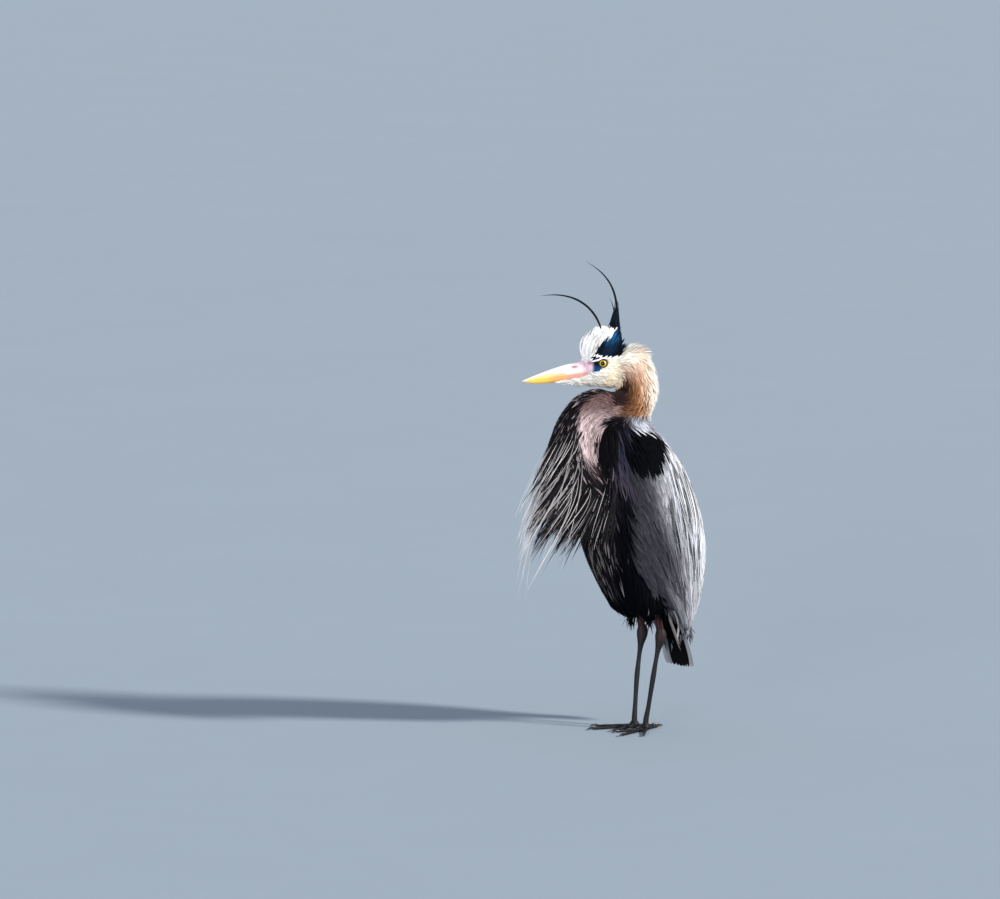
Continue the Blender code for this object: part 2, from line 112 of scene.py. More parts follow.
def at(x, y, z):
    return FOOTING + Vector((x, y, z)) * MM


def head_at(forward, out, up):
    return EYES + (HEAD_FORWARD * forward + HEAD_OUT * out + HEAD_UP * up) * MM


def bird_of(points):
    return (points - np.array(FOOTING)) / MM


def head_of(points):
    return (points - np.array(EYES)) @ HEAD_AXES.T / MM


def smooth_line(points, count):
    """Rows spread along a smooth curve through the given rows, by their first three values."""
    rows = np.array(points, float)
    steps = np.linalg.norm(np.diff(rows[:, :3], axis=0), axis=1)
    knots = np.concatenate([[0.0], np.cumsum(steps)]) / steps.sum()
    slopes = np.gradient(rows, knots, axis=0)
    found = []
    for t in np.linspace(0.0, 1.0, count):
        i = min(np.searchsorted(knots, t, side="right") - 1, len(rows) - 2)
        span = knots[i + 1] - knots[i]
        s = (t - knots[i]) / span
        found.append(
            (2 * s**3 - 3 * s**2 + 1) * rows[i]
            + (s**3 - 2 * s**2 + s) * span * slopes[i]
            + (3 * s**2 - 2 * s**3) * rows[i + 1]
            + (s**3 - s**2) * span * slopes[i + 1]
        )
    return np.array(found)


def bezier(points, t):
    a, b, c, d = (Vector(p) for p in points)
    return a * (1 - t) ** 3 + b * 3 * t * (1 - t) ** 2 + c * 3 * t * t * (1 - t) + d * t**3


def curve(points, steps):
    """Even steps along the smooth curve that four places set."""
    return [bezier(points, k / steps) for k in range(steps + 1)]


def head_curve(points, steps):
    return curve([head_at(*p) for p in points], steps)


def soft(value, start, end):
    """0 before start, 1 past end, and eased between."""
    t = np.clip((value - start) / (end - start), 0, 1)
    return t * t * (3 - 2 * t)


def bump(value, centre, reach):
    """1 at the centre, falling off round it."""
    return np.exp(-(((value - centre) / reach) ** 2))


# How a quarter view from the bird's left front lays out x, y and z
QUARTER_ALONG = (0.643, 0.766)
QUARTER_LEVEL = (-0.08, 0.067, 0.9945)


def quarter_view(where):
    """Places on either flank as seen from a quarter ahead: along and up, in millimetres."""
    x, y, z = where.T
    aside = np.abs(x)
    along = QUARTER_ALONG[0] * aside + QUARTER_ALONG[1] * y
    return along, QUARTER_LEVEL[2] * z + QUARTER_LEVEL[1] * y + QUARTER_LEVEL[0] * aside


def mixed(a, b, share):
    """From a where the share is 0 to b where it is 1."""
    share = np.asarray(share)[..., None]
    return a * (1 - share) + b * share


def layered(colour, *layers):
    """A colour with others laid over it in turn, each by its share at every point."""
    for over, share in layers:
        colour = mixed(colour, over, share)
    return colour


def some(draws, limit, value):
    """This value for the draws past the limit, and 0 for the others."""
    return np.where(draws > limit, value, 0.0)


# Centre line of the folded neck, from the head to the breast
NECK_LINE = (
    (-34, -45, 752),
    (-18, -24, 758),
    (-6, -7, 728),
    (-2, -14, 676),
    (-8, -53, 655),
    (-20, -108, 664),
    (-28, -149, 628),
    (-28, -163, 570),
    (-18, -138, 514),
    (0, -86, 478),
)
# Centre of the neck's loop, as y and z
LOOP_CENTRE = (-95, 590)
NAPE_WAY = np.array([0.45, 0.89, 0.0])
# Where the feathers of a folded wing point to
WING_TIP = (60, 106, 150)
# Nothing of the wing hangs lower than this
WING_LOWEST = 196


# ---------------------------------------------------------------- settings


def swatch(name, description, colour):
    return bpy.props.FloatVectorProperty(
        name=name,
        description=description,
        subtype="COLOR_GAMMA",
        size=3,
        min=0.0,
        max=1.0,
        default=colour,
    )


def length(name, description, millimetres):
    return bpy.props.FloatProperty(
        name=name, description=description, unit="LENGTH", default=millimetres * MM
    )


def factor(name, description, default):
    return bpy.props.FloatProperty(
        name=name, description=description, subtype="FACTOR", default=default, min=0.0
    )


def angle(name, description, degrees):
    return bpy.props.FloatProperty(
        name=name, description=description, subtype="ANGLE", default=math.radians(degrees)
    )


def strength(name, description, default):
    return bpy.props.FloatProperty(name=name, description=description, default=default, min=0.0)


class HeronCoat(bpy.types.PropertyGroup):
    skin_grain: length("Skin grain", "Size of the skin's faces", 4.2)
    overlap: length("Overlap", "How far the solids grow into each other before they join", 1.2)
    body_depth: length("Body coat", "How far the skin lies under the body's outline", 5.0)
    neck_depth: length("Neck coat", "How far the skin lies under the neck's outline", 0.6)
    nape_depth: length("Nape coat", "How much further the skin lies in at the nape", 6.0)
    crown_depth: length("Crown coat", "How far the skin lies under the raised crown", 9.0)
    face_depth: length("Face coat", "How far the skin lies under the face's outline", 0.8)
    fullness: factor("Fullness", "How closely the feathers stand", 1.0)
    unevenness: factor("Unevenness", "How much feathers differ in shade", 0.14)
    twist: angle("Twist", "How far a feather may be turned about its shaft", 14)


class HeronColours(bpy.types.PropertyGroup):
    white: swatch("White", "Forehead and cheeks", (0.975, 0.97, 0.96))
    cream: swatch("Cream", "Chin, nape and brow", (0.98, 0.945, 0.89))
    peach: swatch("Peach", "Upper nape", (0.83, 0.69, 0.61))
    rufous: swatch("Rufous", "Side of the nape", (0.62, 0.42, 0.26))
    # Umber also paints the shade where the upper neck meets the chin
    umber: swatch("Umber", "Dark side of the upper neck", (0.12, 0.075, 0.07))
    # The loop's darker mauve top is partly its colour and partly painted shade from the upper neck
    mauve: swatch("Mauve", "Top of the neck's loop", (0.43, 0.335, 0.335))
    mauve_pale: swatch("Pale mauve", "Side of the neck's loop", (0.80, 0.72, 0.73))
    throat_dark: swatch("Throat dark", "Streaks down the front of the neck", (0.055, 0.05, 0.065))
    chest: swatch("Chest", "Front of the chest under its plumes", (0.15, 0.12, 0.13))
    # Slate on the chest's side is partly its colour and partly painted shade
    slate: swatch("Slate", "Side of the chest", (0.17, 0.17, 0.235))
    # Black also paints the shade in the hollow between the neck and the chest
    black: swatch("Black", "Crown, shoulder and flanks", (0.012, 0.018, 0.034))
    # Blue of the crown's tint and of the painted sheen on it
    blue_tint_and_sheen: swatch("Blue black", "Gloss of the crown", (0.10, 0.37, 0.58))
    streak: swatch("Streak", "Pale streaks of the belly", (0.58, 0.55, 0.54))
    back_grey: swatch("Back grey", "Upper back", (0.66, 0.675, 0.725))
    # Dark grey painted shade on the wing's leading part
    wing_shade_grey: swatch("Wing grey", "Leading part of the wing", (0.14, 0.14, 0.165))
    # Painted light on the rear of the wing and partly on the back; elsewhere the pale of feather
    # edges and of the tail's outer feathers
    silver_and_painted_light: swatch("Silver", "Rear of the wing", (0.83, 0.84, 0.87))
    wing_brown: swatch("Wing brown", "Middle of the wing", (0.36, 0.34, 0.37))
    tail: swatch("Tail", "Tail feathers", (0.015, 0.015, 0.02))
    plume: swatch("Plume", "Long plumes of the breast", (0.93, 0.90, 0.90))
    bill_pink: swatch("Bill pink", "Upper half of the bill", (0.89, 0.76, 0.80))
    bill_pale: swatch("Bill pale", "Ridge of the bill", (0.92, 0.88, 0.89))
    bill_orange: swatch("Bill orange", "Cutting edges", (0.93, 0.67, 0.40))
    bill_yellow: swatch("Bill yellow", "Fore part of the cutting edges", (0.97, 0.78, 0.32))
    bill_peach: swatch("Bill peach", "Lower half near the mouth", (0.86, 0.61, 0.54))
    nostril: swatch("Nostril", "Slit of the nostril", (0.38, 0.22, 0.28))
    lore: swatch("Lore", "Bare skin before the eye", (0.09, 0.24, 0.40))
    gape: swatch("Gape", "Bare skin at the bill's base", (0.76, 0.50, 0.66))
    iris: swatch("Iris", "Eye", (0.86, 0.74, 0.20))
    iris_rim: swatch("Iris rim", "Outer edge of the iris", (0.46, 0.36, 0.08))
    pupil: swatch("Pupil", "Pupil", (0.008, 0.008, 0.01))
    lid: swatch("Lid", "Rim round the eye", (0.07, 0.07, 0.08))
    shank: swatch("Shank", "Bare leg above the ankle", (0.24, 0.09, 0.09))
    ankle: swatch("Ankle", "Ankle joint", (0.15, 0.08, 0.08))
    tarsus: swatch("Tarsus", "Leg and toes", (0.03, 0.03, 0.045))
    scale_edge: swatch("Scale edge", "Edges of the leg's scales", (0.12, 0.12, 0.15))
    claw: swatch("Claw", "Claws", (0.06, 0.05, 0.05))


class HeronStage(bpy.types.PropertyGroup):
    floor: swatch("Floor", "Floor of the stage", (0.55, 0.60, 0.65))
    key: strength("Key light", "Strength of the key light", 5.0)
    key_softness: angle("Key softness", "Width of the key light as seen from the bird", 7)
    front: strength("Front light", "Strength of the broad light before the bird", 2.2)
    front_softness: angle("Front softness", "Width of the front light as seen from the bird", 20)
    fill: strength("Fill light", "Strength of the light from all round", 0.55)
    distance: length("Camera distance", "From the bird", 12000)
    azimuth: angle("Azimuth", "Camera's turn to the bird's left of its front", 50)
    elevation: angle("Elevation", "Camera's height above level", 6)


def linear(colours):
    """Scene colours of screen colours."""
    colours = np.asarray(colours, float)
    return np.where(colours < 0.04045, colours / 12.92, ((colours + 0.055) / 1.055) ** 2.4)


class Palette:
    """The user's colours as arrays."""

    def __init__(self):
        chosen = bpy.context.scene.heron_colours
        for name in HeronColours.__annotations__:
            setattr(self, name, np.array(getattr(chosen, name)))


# ---------------------------------------------------------------- shader helpers


class Sheet:
    """A node tree that nodes are set down on in turn."""

    def __init__(self, tree):
        self.tree = tree
        self.count = 0

    def node(self, kind, inputs=(), **settings):
        made = self.tree.nodes.new(kind)
        made.location = (220 * (self.count % 8), -260 * (self.count // 8))
        self.count += 1
        for key, value in settings.items():
            setattr(made, key, value)
        for key, value in dict(inputs).items():
            self.feed(made.inputs[key], value)
        return made

    def feed(self, socket, value):
        if isinstance(value, bpy.types.NodeSocket):
            self.tree.links.new(value, socket)
        else:
            socket.default_value = value

    def maths(self, operation, *values):
        inputs = dict(enumerate(values))
        return self.node("ShaderNodeMath", inputs, operation=operation).outputs[0]

    def plus(self, a, b):
        return self.maths("ADD", a, b)

    def minus(self, a, b):
        return self.maths("SUBTRACT", a, b)

    def times(self, a, b):
        return self.maths("MULTIPLY", a, b)

    def noise(self, vector, scale, detail=3.0, roughness=0.6):
        inputs = {"Vector": vector, "Scale": scale, "Detail": detail, "Roughness": roughness}
        return self.node("ShaderNodeTexNoise", inputs).outputs["Fac"]

    def stretched(self, vector, scale):
        return self.node("ShaderNodeMapping", {"Vector": vector, "Scale": scale}).outputs["Vector"]

    def blended(self, share, a, b, mode="MIX"):
        made = self.node("ShaderNodeMix", data_type="RGBA", blend_type=mode)
        for number, value in ((0, share), (6, a), (7, b)):
            self.feed(made.inputs[number], value)
        return made.outputs[2]

    def shaded(self, colour, bright):
        tint = self.node("ShaderNodeCombineColor", dict.fromkeys(range(3), bright)).outputs[0]
        return self.blended(1.0, colour, tint, "MULTIPLY")


def group(name, draw, **inputs):
    """The node group of this name, made once: it puts out the colour and height that are drawn."""
    tree = bpy.data.node_groups.get(name)
    if tree:
        return tree
    tree = bpy.data.node_groups.new(name, "ShaderNodeTree")
    for label, default in inputs.items():
        kind = "NodeSocketFloat" if isinstance(default, float) else "NodeSocketColor"
        label = label.replace("_", " ")
        socket = tree.interface.new_socket(label, in_out="INPUT", socket_type=kind)
        socket.default_value = default
    for label, kind in (("Colour", "NodeSocketColor"), ("Height", "NodeSocketFloat")):
        tree.interface.new_socket(label, in_out="OUTPUT", socket_type=kind)
    sheet = Sheet(tree)
    given = sheet.node("NodeGroupInput").outputs
    out = sheet.node("NodeGroupOutput").inputs
    for label, value in zip(("Colour", "Height"), draw(sheet, given)):
        sheet.feed(out[label], value)
    return tree


PLAIN_GREY = (0.5, 0.5, 0.5, 1.0)
# Centimetres from one barb of a feather to the next, and half across its shaft
BARB_PITCH, SHAFT_HALF = 0.085, 0.018
DARKEST = 0.15


def drawn_barbs(sheet, given):
    place = sheet.node("ShaderNodeUVMap", uv_map=VANE_MAP).outputs[0]
    parts = sheet.node("ShaderNodeSeparateXYZ", {0: place}).outputs
    across = sheet.maths("ABSOLUTE", parts[0])
    slanted = sheet.minus(parts[1], sheet.times(across, 1.1))
    wave = sheet.maths("SINE", sheet.times(slanted, 2 * math.pi / BARB_PITCH))
    streak = sheet.noise(sheet.stretched(place, (22, 1.6, 1)), 1.0, 4.0, 0.65)
    worn = sheet.noise(sheet.stretched(place, (5, 2.2, 1)), 1.0, 2.0)
    shaft = sheet.maths("LESS_THAN", across, SHAFT_HALF)
    lift = sheet.times(sheet.minus(streak, 0.5), given["Streaks"])
    lift = sheet.plus(lift, sheet.times(wave, given["Barbs"]))
    lift = sheet.plus(lift, sheet.times(shaft, given["Shaft"]))
    lift = sheet.plus(lift, sheet.times(sheet.minus(worn, 0.5), 0.25))
    bright = sheet.maths("MAXIMUM", sheet.plus(1.0, lift), DARKEST)
    height = sheet.plus(sheet.times(wave, 0.3), streak)
    height = sheet.plus(height, sheet.times(shaft, 0.8))
    return sheet.shaded(given["Colour"], bright), height


def barbs_group():
    """Shaft, barbs and uneven wear of a feather, drawn on its vane map in centimetres."""
    return group("Barbs", drawn_barbs, Colour=PLAIN_GREY, Streaks=0.4, Barbs=0.15, Shaft=0.3)


def drawn_mottle(sheet, given):
    place = sheet.node("ShaderNodeTexCoord").outputs["Object"]
    fine = sheet.noise(place, given["Scale"], 5.0)
    broad = sheet.noise(place, sheet.times(given["Scale"], 0.18), 2.0)
    both = sheet.minus(sheet.plus(fine, broad), 1.0)
    bright = sheet.plus(1.0, sheet.times(both, given["Strength"]))
    return sheet.shaded(given["Colour"], bright), fine


def mottle_group():
    """Broad and fine unevenness of colour and surface, drawn on object coordinates."""
    return group("Mottle", drawn_mottle, Colour=PLAIN_GREY, Scale=200.0, Strength=0.3)


def drawn_scales(sheet, given):
    place = sheet.node("ShaderNodeTexCoord").outputs["Object"]
    inputs = {"Vector": sheet.stretched(place, (1.0, 1.0, 0.62)), "Scale": given["Scale"]}
    cells = sheet.node("ShaderNodeTexVoronoi", inputs, feature="DISTANCE_TO_EDGE")
    flat = sheet.node("ShaderNodeMapRange", {0: cells.outputs["Distance"], 1: 0.0, 2: 0.14})
    flat = flat.outputs[0]
    rim = sheet.times(sheet.minus(1.0, flat), 0.45)
    return sheet.blended(rim, given["Colour"], given["Edge Colour"]), flat


def scales_group():
    """Small many-sided scales with paler edges, drawn on object coordinates."""
    dark, pale = (0.1, 0.1, 0.1, 1.0), (0.3, 0.3, 0.3, 1.0)
    return group("Scales", drawn_scales, Colour=dark, Edge_Colour=pale, Scale=400.0)


def fresh_material(name, **settings):
    """A material with only its Principled shader, set as given, and the sheet to build on."""
    mat = bpy.data.materials.new(name)
    mat.use_nodes = True
    shader = mat.node_tree.nodes["Principled BSDF"]
    for key, value in settings.items():
        shader.inputs[key.replace("_", " ")].default_value = value
    return mat, Sheet(mat.node_tree), shader


def placed_group(sheet, tree, **inputs):
    node = sheet.node("ShaderNodeGroup", node_tree=tree)
    for key, value in inputs.items():
        sheet.feed(node.inputs[key.replace("_", " ")], value)
    return node.outputs


def plumage_colour(sheet):
    return sheet.node("ShaderNodeAttribute", attribute_name=PLUMAGE).outputs["Color"]


def finished(sheet, shader, colour, height=None, strength=0.0, depth=0.0):
    """Gives the shader its colour and, with a height, a bump of this strength and depth."""
    sheet.feed(shader.inputs["Base Color"], colour)
    if height is not None:
        inputs = {"Height": height, "Strength": strength, "Distance": depth * MM}
        made = sheet.node("ShaderNodeBump", inputs)
        sheet.feed(shader.inputs["Normal"], made.outputs["Normal"])


FEATHER_KINDS = {
    # streaks, barbs, shaft, roughness, sheen, specular
    "Down": (0.10, 0.02, 0.0, 0.9, 0.08, 0.03),
    "Soft feather": (0.35, 0.05, 0.04, 0.85, 0.0, 0.03),
    "Vane feather": (0.36, 0.09, 0.12, 0.8, 0.0, 0.03),
    "Silky plume": (0.3, 0.03, 0.10, 0.7, 0.0, 0.06),
    "Glossy black feather": (0.35, 0.08, 0.1, 0.5, 0.0, 0.07),
}


def feather_material(name):
    """The material of one kind of feather, made once."""
    if name in bpy.data.materials:
        return bpy.data.materials[name]
    streaks, barbs, shaft, roughness, sheen, specular = FEATHER_KINDS[name]
    mat, sheet, shader = fresh_material(
        name,
        Roughness=roughness,
        Sheen_Weight=sheen,
        Sheen_Roughness=0.4,
        Specular_IOR_Level=specular,
    )
    colour = plumage_colour(sheet)
    made = placed_group(
        sheet, barbs_group(), Colour=colour, Streaks=streaks, Barbs=barbs, Shaft=shaft
    )
    finished(sheet, shader, made["Colour"], made["Height"], 0.5, 0.25)
    return mat


def mottled(name, scale, strength, bump_of=(), colour=None, **settings):
    """A mottled material in its plumage colours, or in one colour, with a bump if one is given."""
    mat, sheet, shader = fresh_material(name, **settings)
    colour = plumage_colour(sheet) if colour is None else (*linear(colour), 1.0)
    made = placed_group(sheet, mottle_group(), Colour=colour, Scale=scale, Strength=strength)
    height = made["Height"] if bump_of else None
    finished(sheet, shader, made["Colour"], height, *bump_of)
    return mat


def skin_material():
    settings = {"Roughness": 0.8, "Specular_IOR_Level": 0.05}
    return mottled("Skin under the coat", 300.0, 0.5, (0.4, 0.6), **settings)


def horn_material(name, roughness, coat, strength):
    settings = {"Roughness": roughness, "Coat_Weight": coat, "Coat_Roughness": 0.25}
    return mottled(name, 260.0, strength, (0.25, 0.15), **settings)


def eye_material():
    settings = {"Roughness": 0.25, "Specular_IOR_Level": 0.15}
    settings |= {"Coat_Weight": 0.5, "Coat_Roughness": 0.02}
    return mottled("Wet eye", 900.0, 0.35, **settings)


def floor_material(colour):
    return mottled("Pale floor", 6.0, 0.04, colour=colour, Roughness=0.85)


def leg_material(palette):
    settings = {"Roughness": 0.5, "Specular_IOR_Level": 0.22}
    mat, sheet, shader = fresh_material("Scaled leg skin", **settings)
    edge = (*linear(palette.scale_edge), 1.0)
    colour = plumage_colour(sheet)
    scales = placed_group(sheet, scales_group(), Colour=colour, Edge_Colour=edge, Scale=430.0)
    made = placed_group(sheet, mottle_group(), Colour=scales["Colour"], Scale=350.0, Strength=0.5)
    finished(sheet, shader, made["Colour"], scales["Height"], 0.5, 0.35)
    return mat


# ---------------------------------------------------------------- mesh helpers


def numbers(items, name, width, kind=np.float32):
    values = np.empty(len(items) * width, kind)
    items.foreach_get(name, values)
    return values.reshape(-1, width).astype(float if kind is np.float32 else int)


def paint(mesh, colours):
    """Writes screen colours, one for each vertex, as the mesh's plumage."""
    layer = mesh.color_attributes.new(PLUMAGE, "FLOAT_COLOR", "POINT")
    values = np.ones((len(mesh.vertices), 4), np.float32)
    values[:, :3] = linear(np.clip(colours, 0, 1))
    layer.data.foreach_set("color", values.ravel())


def painted(mesh, colour):
    """The mesh in one colour."""
    paint(mesh, np.tile(colour, (len(mesh.vertices), 1)))
    return mesh


def vertex_points(mesh):
    return numbers(mesh.vertices, "co", 3)


def add_piece(name, mesh, material, slot, *nodes):
    """Puts a mesh on the bird with its material and hides the nodes it stands for. The slot is not
    used.
    """
    obj = bpy.data.objects.new(name, mesh)
    bpy.context.scene.collection.objects.link(obj)
    mesh.materials.clear()
    mesh.materials.append(material)
    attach(obj, BODY)
    if nodes:
        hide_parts(*nodes)
    return obj


def ring(bm, points):
    """A closed ring of edges through these points."""
    verts = [bm.verts.new(p) for p in points]
    return [bm.edges.new((a, b)) for a, b in zip(verts, verts[1:] + verts[:1])]


def lofted(bm, rings):
    """Bridges each ring of points to the next and closes both ends."""
    loops = [ring(bm, points) for points in rings]
    for a, b in zip(loops, loops[1:]):
        bmesh.ops.bridge_loops(bm, edges=a + b)
    for loop in (loops[0], loops[-1]):
        bmesh.ops.edgeloop_fill(bm, edges=loop)


def tube_rings(rows, sides, across=(1, 0, 0)):
    """Rings round a path whose rows are x, y, z, half width and half depth, in metres."""
    rows = np.array(rows, float)
    rings = []
    across = Vector(across)
    for row, way in zip(rows, np.gradient(rows[:, :3], axis=0)):
        along = Vector(way).normalized()
        across = (across - along * across.dot(along)).normalized()
        deep = along.cross(across)
        centre = Vector(row[:3])
        turns = [2 * math.pi * k / sides for k in range(sides)]
        rings.append(
            [centre + across * row[3] * math.cos(a) + deep * row[4] * math.sin(a) for a in turns]
        )
    return rings


def mesh_of(name, bm, sharp=None):
    """The finished mesh of a bmesh, faces outward and smooth but for edges sharper than given."""
    bmesh.ops.recalc_face_normals(bm, faces=bm.faces)
    mesh = bpy.data.meshes.new(name)
    bm.to_mesh(mesh)
    bm.free()
    mesh.shade_smooth()
    if sharp:
        mesh.set_sharp_from_angle(angle=math.radians(sharp))
    return mesh


# ---------------------------------------------------------------- skin


class Pelt:
    """The skin's surface with the lie, length and spread of the coat on it."""

    def __init__(self, mesh):
        mesh.calc_loop_triangles()
        self.points = vertex_points(mesh)
        self.normals = numbers(mesh.vertices, "normal", 3)
        self.tris = numbers(mesh.loop_triangles, "vertices", 3, np.int32)
        corners = numbers(mesh.loop_triangles, "loops", 3, np.int32)
        self.tri_uv = numbers(mesh.uv_layers[BAKE_MAP].data, "uv", 2)[corners]
        self.edges = numbers(mesh.edges, "vertices", 2, np.int32)
        self.tree = BVHTree.FromPolygons(self.points.tolist(), self.tris.tolist())
        a, b, c = (self.points[self.tris[:, k]] for k in range(3))
        self.area = np.linalg.norm(np.cross(b - a, c - a), axis=1) / 2 / MM**2
        self.where = bird_of(self.points)
        self.head = head_of(self.points)
        self.label = nearest_flesh(self.points)
        self.region = regions(self.where, self.label)
        self.plan = coat_plan(self)
        ways = self.plan["way"]
        self.tri_way = [Vector(w) for w in unit(ways[self.tris].sum(axis=1))]
        self.tri_normal = [Vector(n) for n in unit(self.normals[self.tris].sum(axis=1))]

    def of_tris(self, values):
        return values[self.tris].mean(axis=1)

    def mark(self, face):
        """A face's place on the unwrap."""
        return self.tri_uv[face].mean(axis=0)


PELT = {}


def the_pelt():
    if "pelt" not in PELT:
        raise RuntimeError("make the skin before the coat")
    return PELT["pelt"]


def unit(vectors):
    return vectors / np.maximum(np.linalg.norm(vectors, axis=-1, keepdims=True), 1e-9)


def nearest_flesh(points):
    """For each point, which of the nodes of flesh is nearest."""
    best = np.full(len(points), np.inf)
    label = np.zeros(len(points), int)
    places = [Vector(p) for p in points]
    for number, name in enumerate(FLESH):
        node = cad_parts[name].data
        node.calc_loop_triangles()
        faces = numbers(node.loop_triangles, "vertices", 3, np.int32)
        tree = BVHTree.FromPolygons(vertex_points(node).tolist(), faces.tolist())
        gap = np.array([tree.find_nearest(p)[3] for p in places])
        label[gap < best] = number
        best = np.minimum(best, gap)
    return label


def regions(where, label):
    """Which region of the coat each point belongs to."""
    _, y, z = where.T
    found = np.zeros(len(where), int)
    numbered = {name: number for number, name in enumerate(REGIONS)}
    trunk = label == FLESH.index("trunk")
    throat = np.isin(label, [FLESH.index("neck_middle"), FLESH.index("neck_lower")])
    throat |= trunk & (y < -152) & (z > 430)
    found[label == FLESH.index("neck_upper")] = numbered["nape"]
    found[trunk] = numbered["belly"]
    found[trunk & (z > 520) & (y > -62 + 0.35 * (640 - z))] = numbered["back"]
    found[trunk & (y > 60) & (z > 330)] = numbered["back"]
    found[throat] = numbered["throat"]
    for side in ("left", "right"):
        found[label == FLESH.index("wing_" + side)] = numbered["wing_" + side]
        found[label == FLESH.index("thigh_" + side)] = numbered["thighs"]
    return found


def neck_ways(where):
    """The way down the neck beside each point."""
    line = smooth_line(NECK_LINE, 90)
    ways = unit(np.gradient(line, axis=0))
    gap = ((where[:, None, :] - line[None]) ** 2).sum(axis=2)
    return ways[gap.argmin(axis=1)]


def head_ways(head):
    """The lie of the head's coat: back over the face and up over the raised crown."""
    forward, out, up = head.T
    rising = soft(up, 5, 16) * soft(forward, -62, -40)
    face = np.column_stack([-np.ones(len(head)), 0 * up, -0.12 - 0.3 * soft(-forward, 10, 40)])
    lean = -0.15 - 0.55 * soft(-forward, 0, 35)
    crown = np.column_stack([lean, -0.004 * out, np.ones(len(head))])
    return mixed(unit(face), unit(crown), rising) @ HEAD_AXES


PLAN = ("length", "half_width", "lift", "settle", "spacing")
# Shortest feather of the coat, in millimetres
SHORTEST = 7
# How many times the coat's lie is combed smooth and its sizes are blended
COMBINGS, BLENDINGS = 14, 4


def coat_lie(pelt, is_in):
    """The way the coat lies at each point of the skin, combed smooth along it."""
    where, normals = pelt.where, pelt.normals
    x = where[:, 0]
    count = len(where)
    neck = is_in["nape"] | is_in["throat"]
    wings = is_in["wing_left"] | is_in["wing_right"]
    way = np.tile([0.0, 0.22, -1.0], (count, 1))
    way[:, 0] = 0.0012 * x
    down_back = np.column_stack([0.006 * x, np.full(count, 0.55), np.full(count, -0.8)])
    way[is_in["back"]] = down_back[is_in["back"]]
    way[wings] = (wing_end(x, WING_TIP[2]) - where)[wings]
    way[is_in["thighs"]] = (0, 0.1, -1)
    way[neck] = neck_ways(where)[neck]
    way[is_in["head"]] = head_ways(pelt.head)[is_in["head"]]
    way = unit(way)
    for _ in range(COMBINGS):
        way = unit(way + 0.5 * spread(way, pelt.edges))
        way = unit(way - normals * (way * normals).sum(axis=1, keepdims=True))
    return way


def wing_end(x, level):
    """The place each point's wing feathers run towards, at this level."""
    return np.column_stack([np.sign(x) * WING_TIP[0], 0 * x + WING_TIP[1], 0 * x + level])


def coat_plan(pelt):
    """For each point of the skin: the lie, length, half width, lift and spacing of its coat."""
    where, normals, region = pelt.where, pelt.normals, pelt.region
    x, y, z = where.T
    up = pelt.head[:, 2]
    is_in = {name: region == number for number, name in enumerate(REGIONS)}
    wings = is_in["wing_left"] | is_in["wing_right"]
    neck = is_in["nape"] | is_in["throat"]
    made = {"way": coat_lie(pelt, is_in)}
    sizes = np.array([sizes for sizes, *_ in COAT.values()], float)[region]
    nape = is_in["nape"] * soft(normals @ NAPE_WAY, 0.1, 0.75) * (1 - 0.6 * soft(676 - z, 0, 30))
    top_nape = is_in["nape"] * soft(z, 730, 752) * soft(normals[:, 2], 0.3, 0.8)
    loop_top = is_in["throat"] * soft(normals[:, 2], 0.5, 0.9) * soft(z, 660, 690)
    along, level = quarter_view(where)
    hollow = neck * soft(along, -88, -78) * soft(-20 - along, 0, 10) * bump(level, 605, 40)
    changes = (
        # raised crown and chin
        (is_in["head"] * soft(up, 8, 24), (9, 0.4, 4, 8, 0.5)),
        (is_in["head"] * soft(-up, 26, 36), (5, 0, 22, 18, 0.2)),
        (nape, (-1, -0.15, 26, 24, 0.2)),
        (top_nape, (1, 0.2, 42, 30, -0.4)),
        (loop_top, (-2, 0.1, 10, 8, 0)),
        # lower wing and breast
        (wings * soft(-z, -470, -300), (14, -1.0, 0, 1, -0.3)),
        (is_in["throat"] * soft(-z, -590, -500), (18, 0.9, 2, 2, 1.2)),
        (hollow, (-9, -0.2, -4, 0, -0.7)),
        # vent
        (is_in["belly"] * soft(-z, -330, -250), (-8, -0.7, 3, 6, -1.2)),
    )
    for share, change in changes:
        sizes += share[:, None] * np.array(change)
    sizes[:, 0] = np.maximum(sizes[:, 0], SHORTEST)
    room = SHORTEST + 0.75 * np.linalg.norm(wing_end(x, WING_LOWEST) - where, axis=1)
    sizes[:, 0] = np.where(wings, np.minimum(sizes[:, 0], room), sizes[:, 0])
    shoulder = (is_in["back"] | wings) * soft(z, 500, 560) * soft(30 - y, 0, 50)
    sizes -= shoulder[:, None] * np.array([14, 1.0, 0, 0, 1.0])
    for _ in range(BLENDINGS):
        sizes = (sizes + spread(sizes, pelt.edges)) / 2
    made.update(zip(PLAN, sizes.T))
    made["bare"] = is_in["head"] & bare_face(pelt.head)
    return made


def bare_face(head):
    """Where the face has no feathers: the lore, the bill's base and round the eye."""
    forward, out, up = head.T
    lore = (forward > 2) & (forward < 60) & (up < 3.5) & (up > -16 - 0.12 * (forward - 2))
    lore |= (forward > 30) & (up < 1.5 - 0.05 * (forward - 30)) & (up > -26)
    eye = (forward**2 + up**2 < 9.6**2) & (np.abs(out) > 8)
    return lore | eye


def spread(values, edges):
    """The mean of each vertex's neighbours."""
    total = np.zeros_like(values)
    count = np.zeros(len(values))
    for a, b in ((0, 1), (1, 0)):
        np.add.at(total, edges[:, a], values[edges[:, b]])
        np.add.at(count, edges[:, a], 1)
    return total / np.maximum(count, 1)[:, None]


# ---------------------------------------------------------------- markings


# How low the black of the crown comes, going forward
BLACK_EDGE = ((-60, -48, -44, -32, -17, 3, 17, 25), (60, 40, 15, 16, 12, 13, 17, 30))


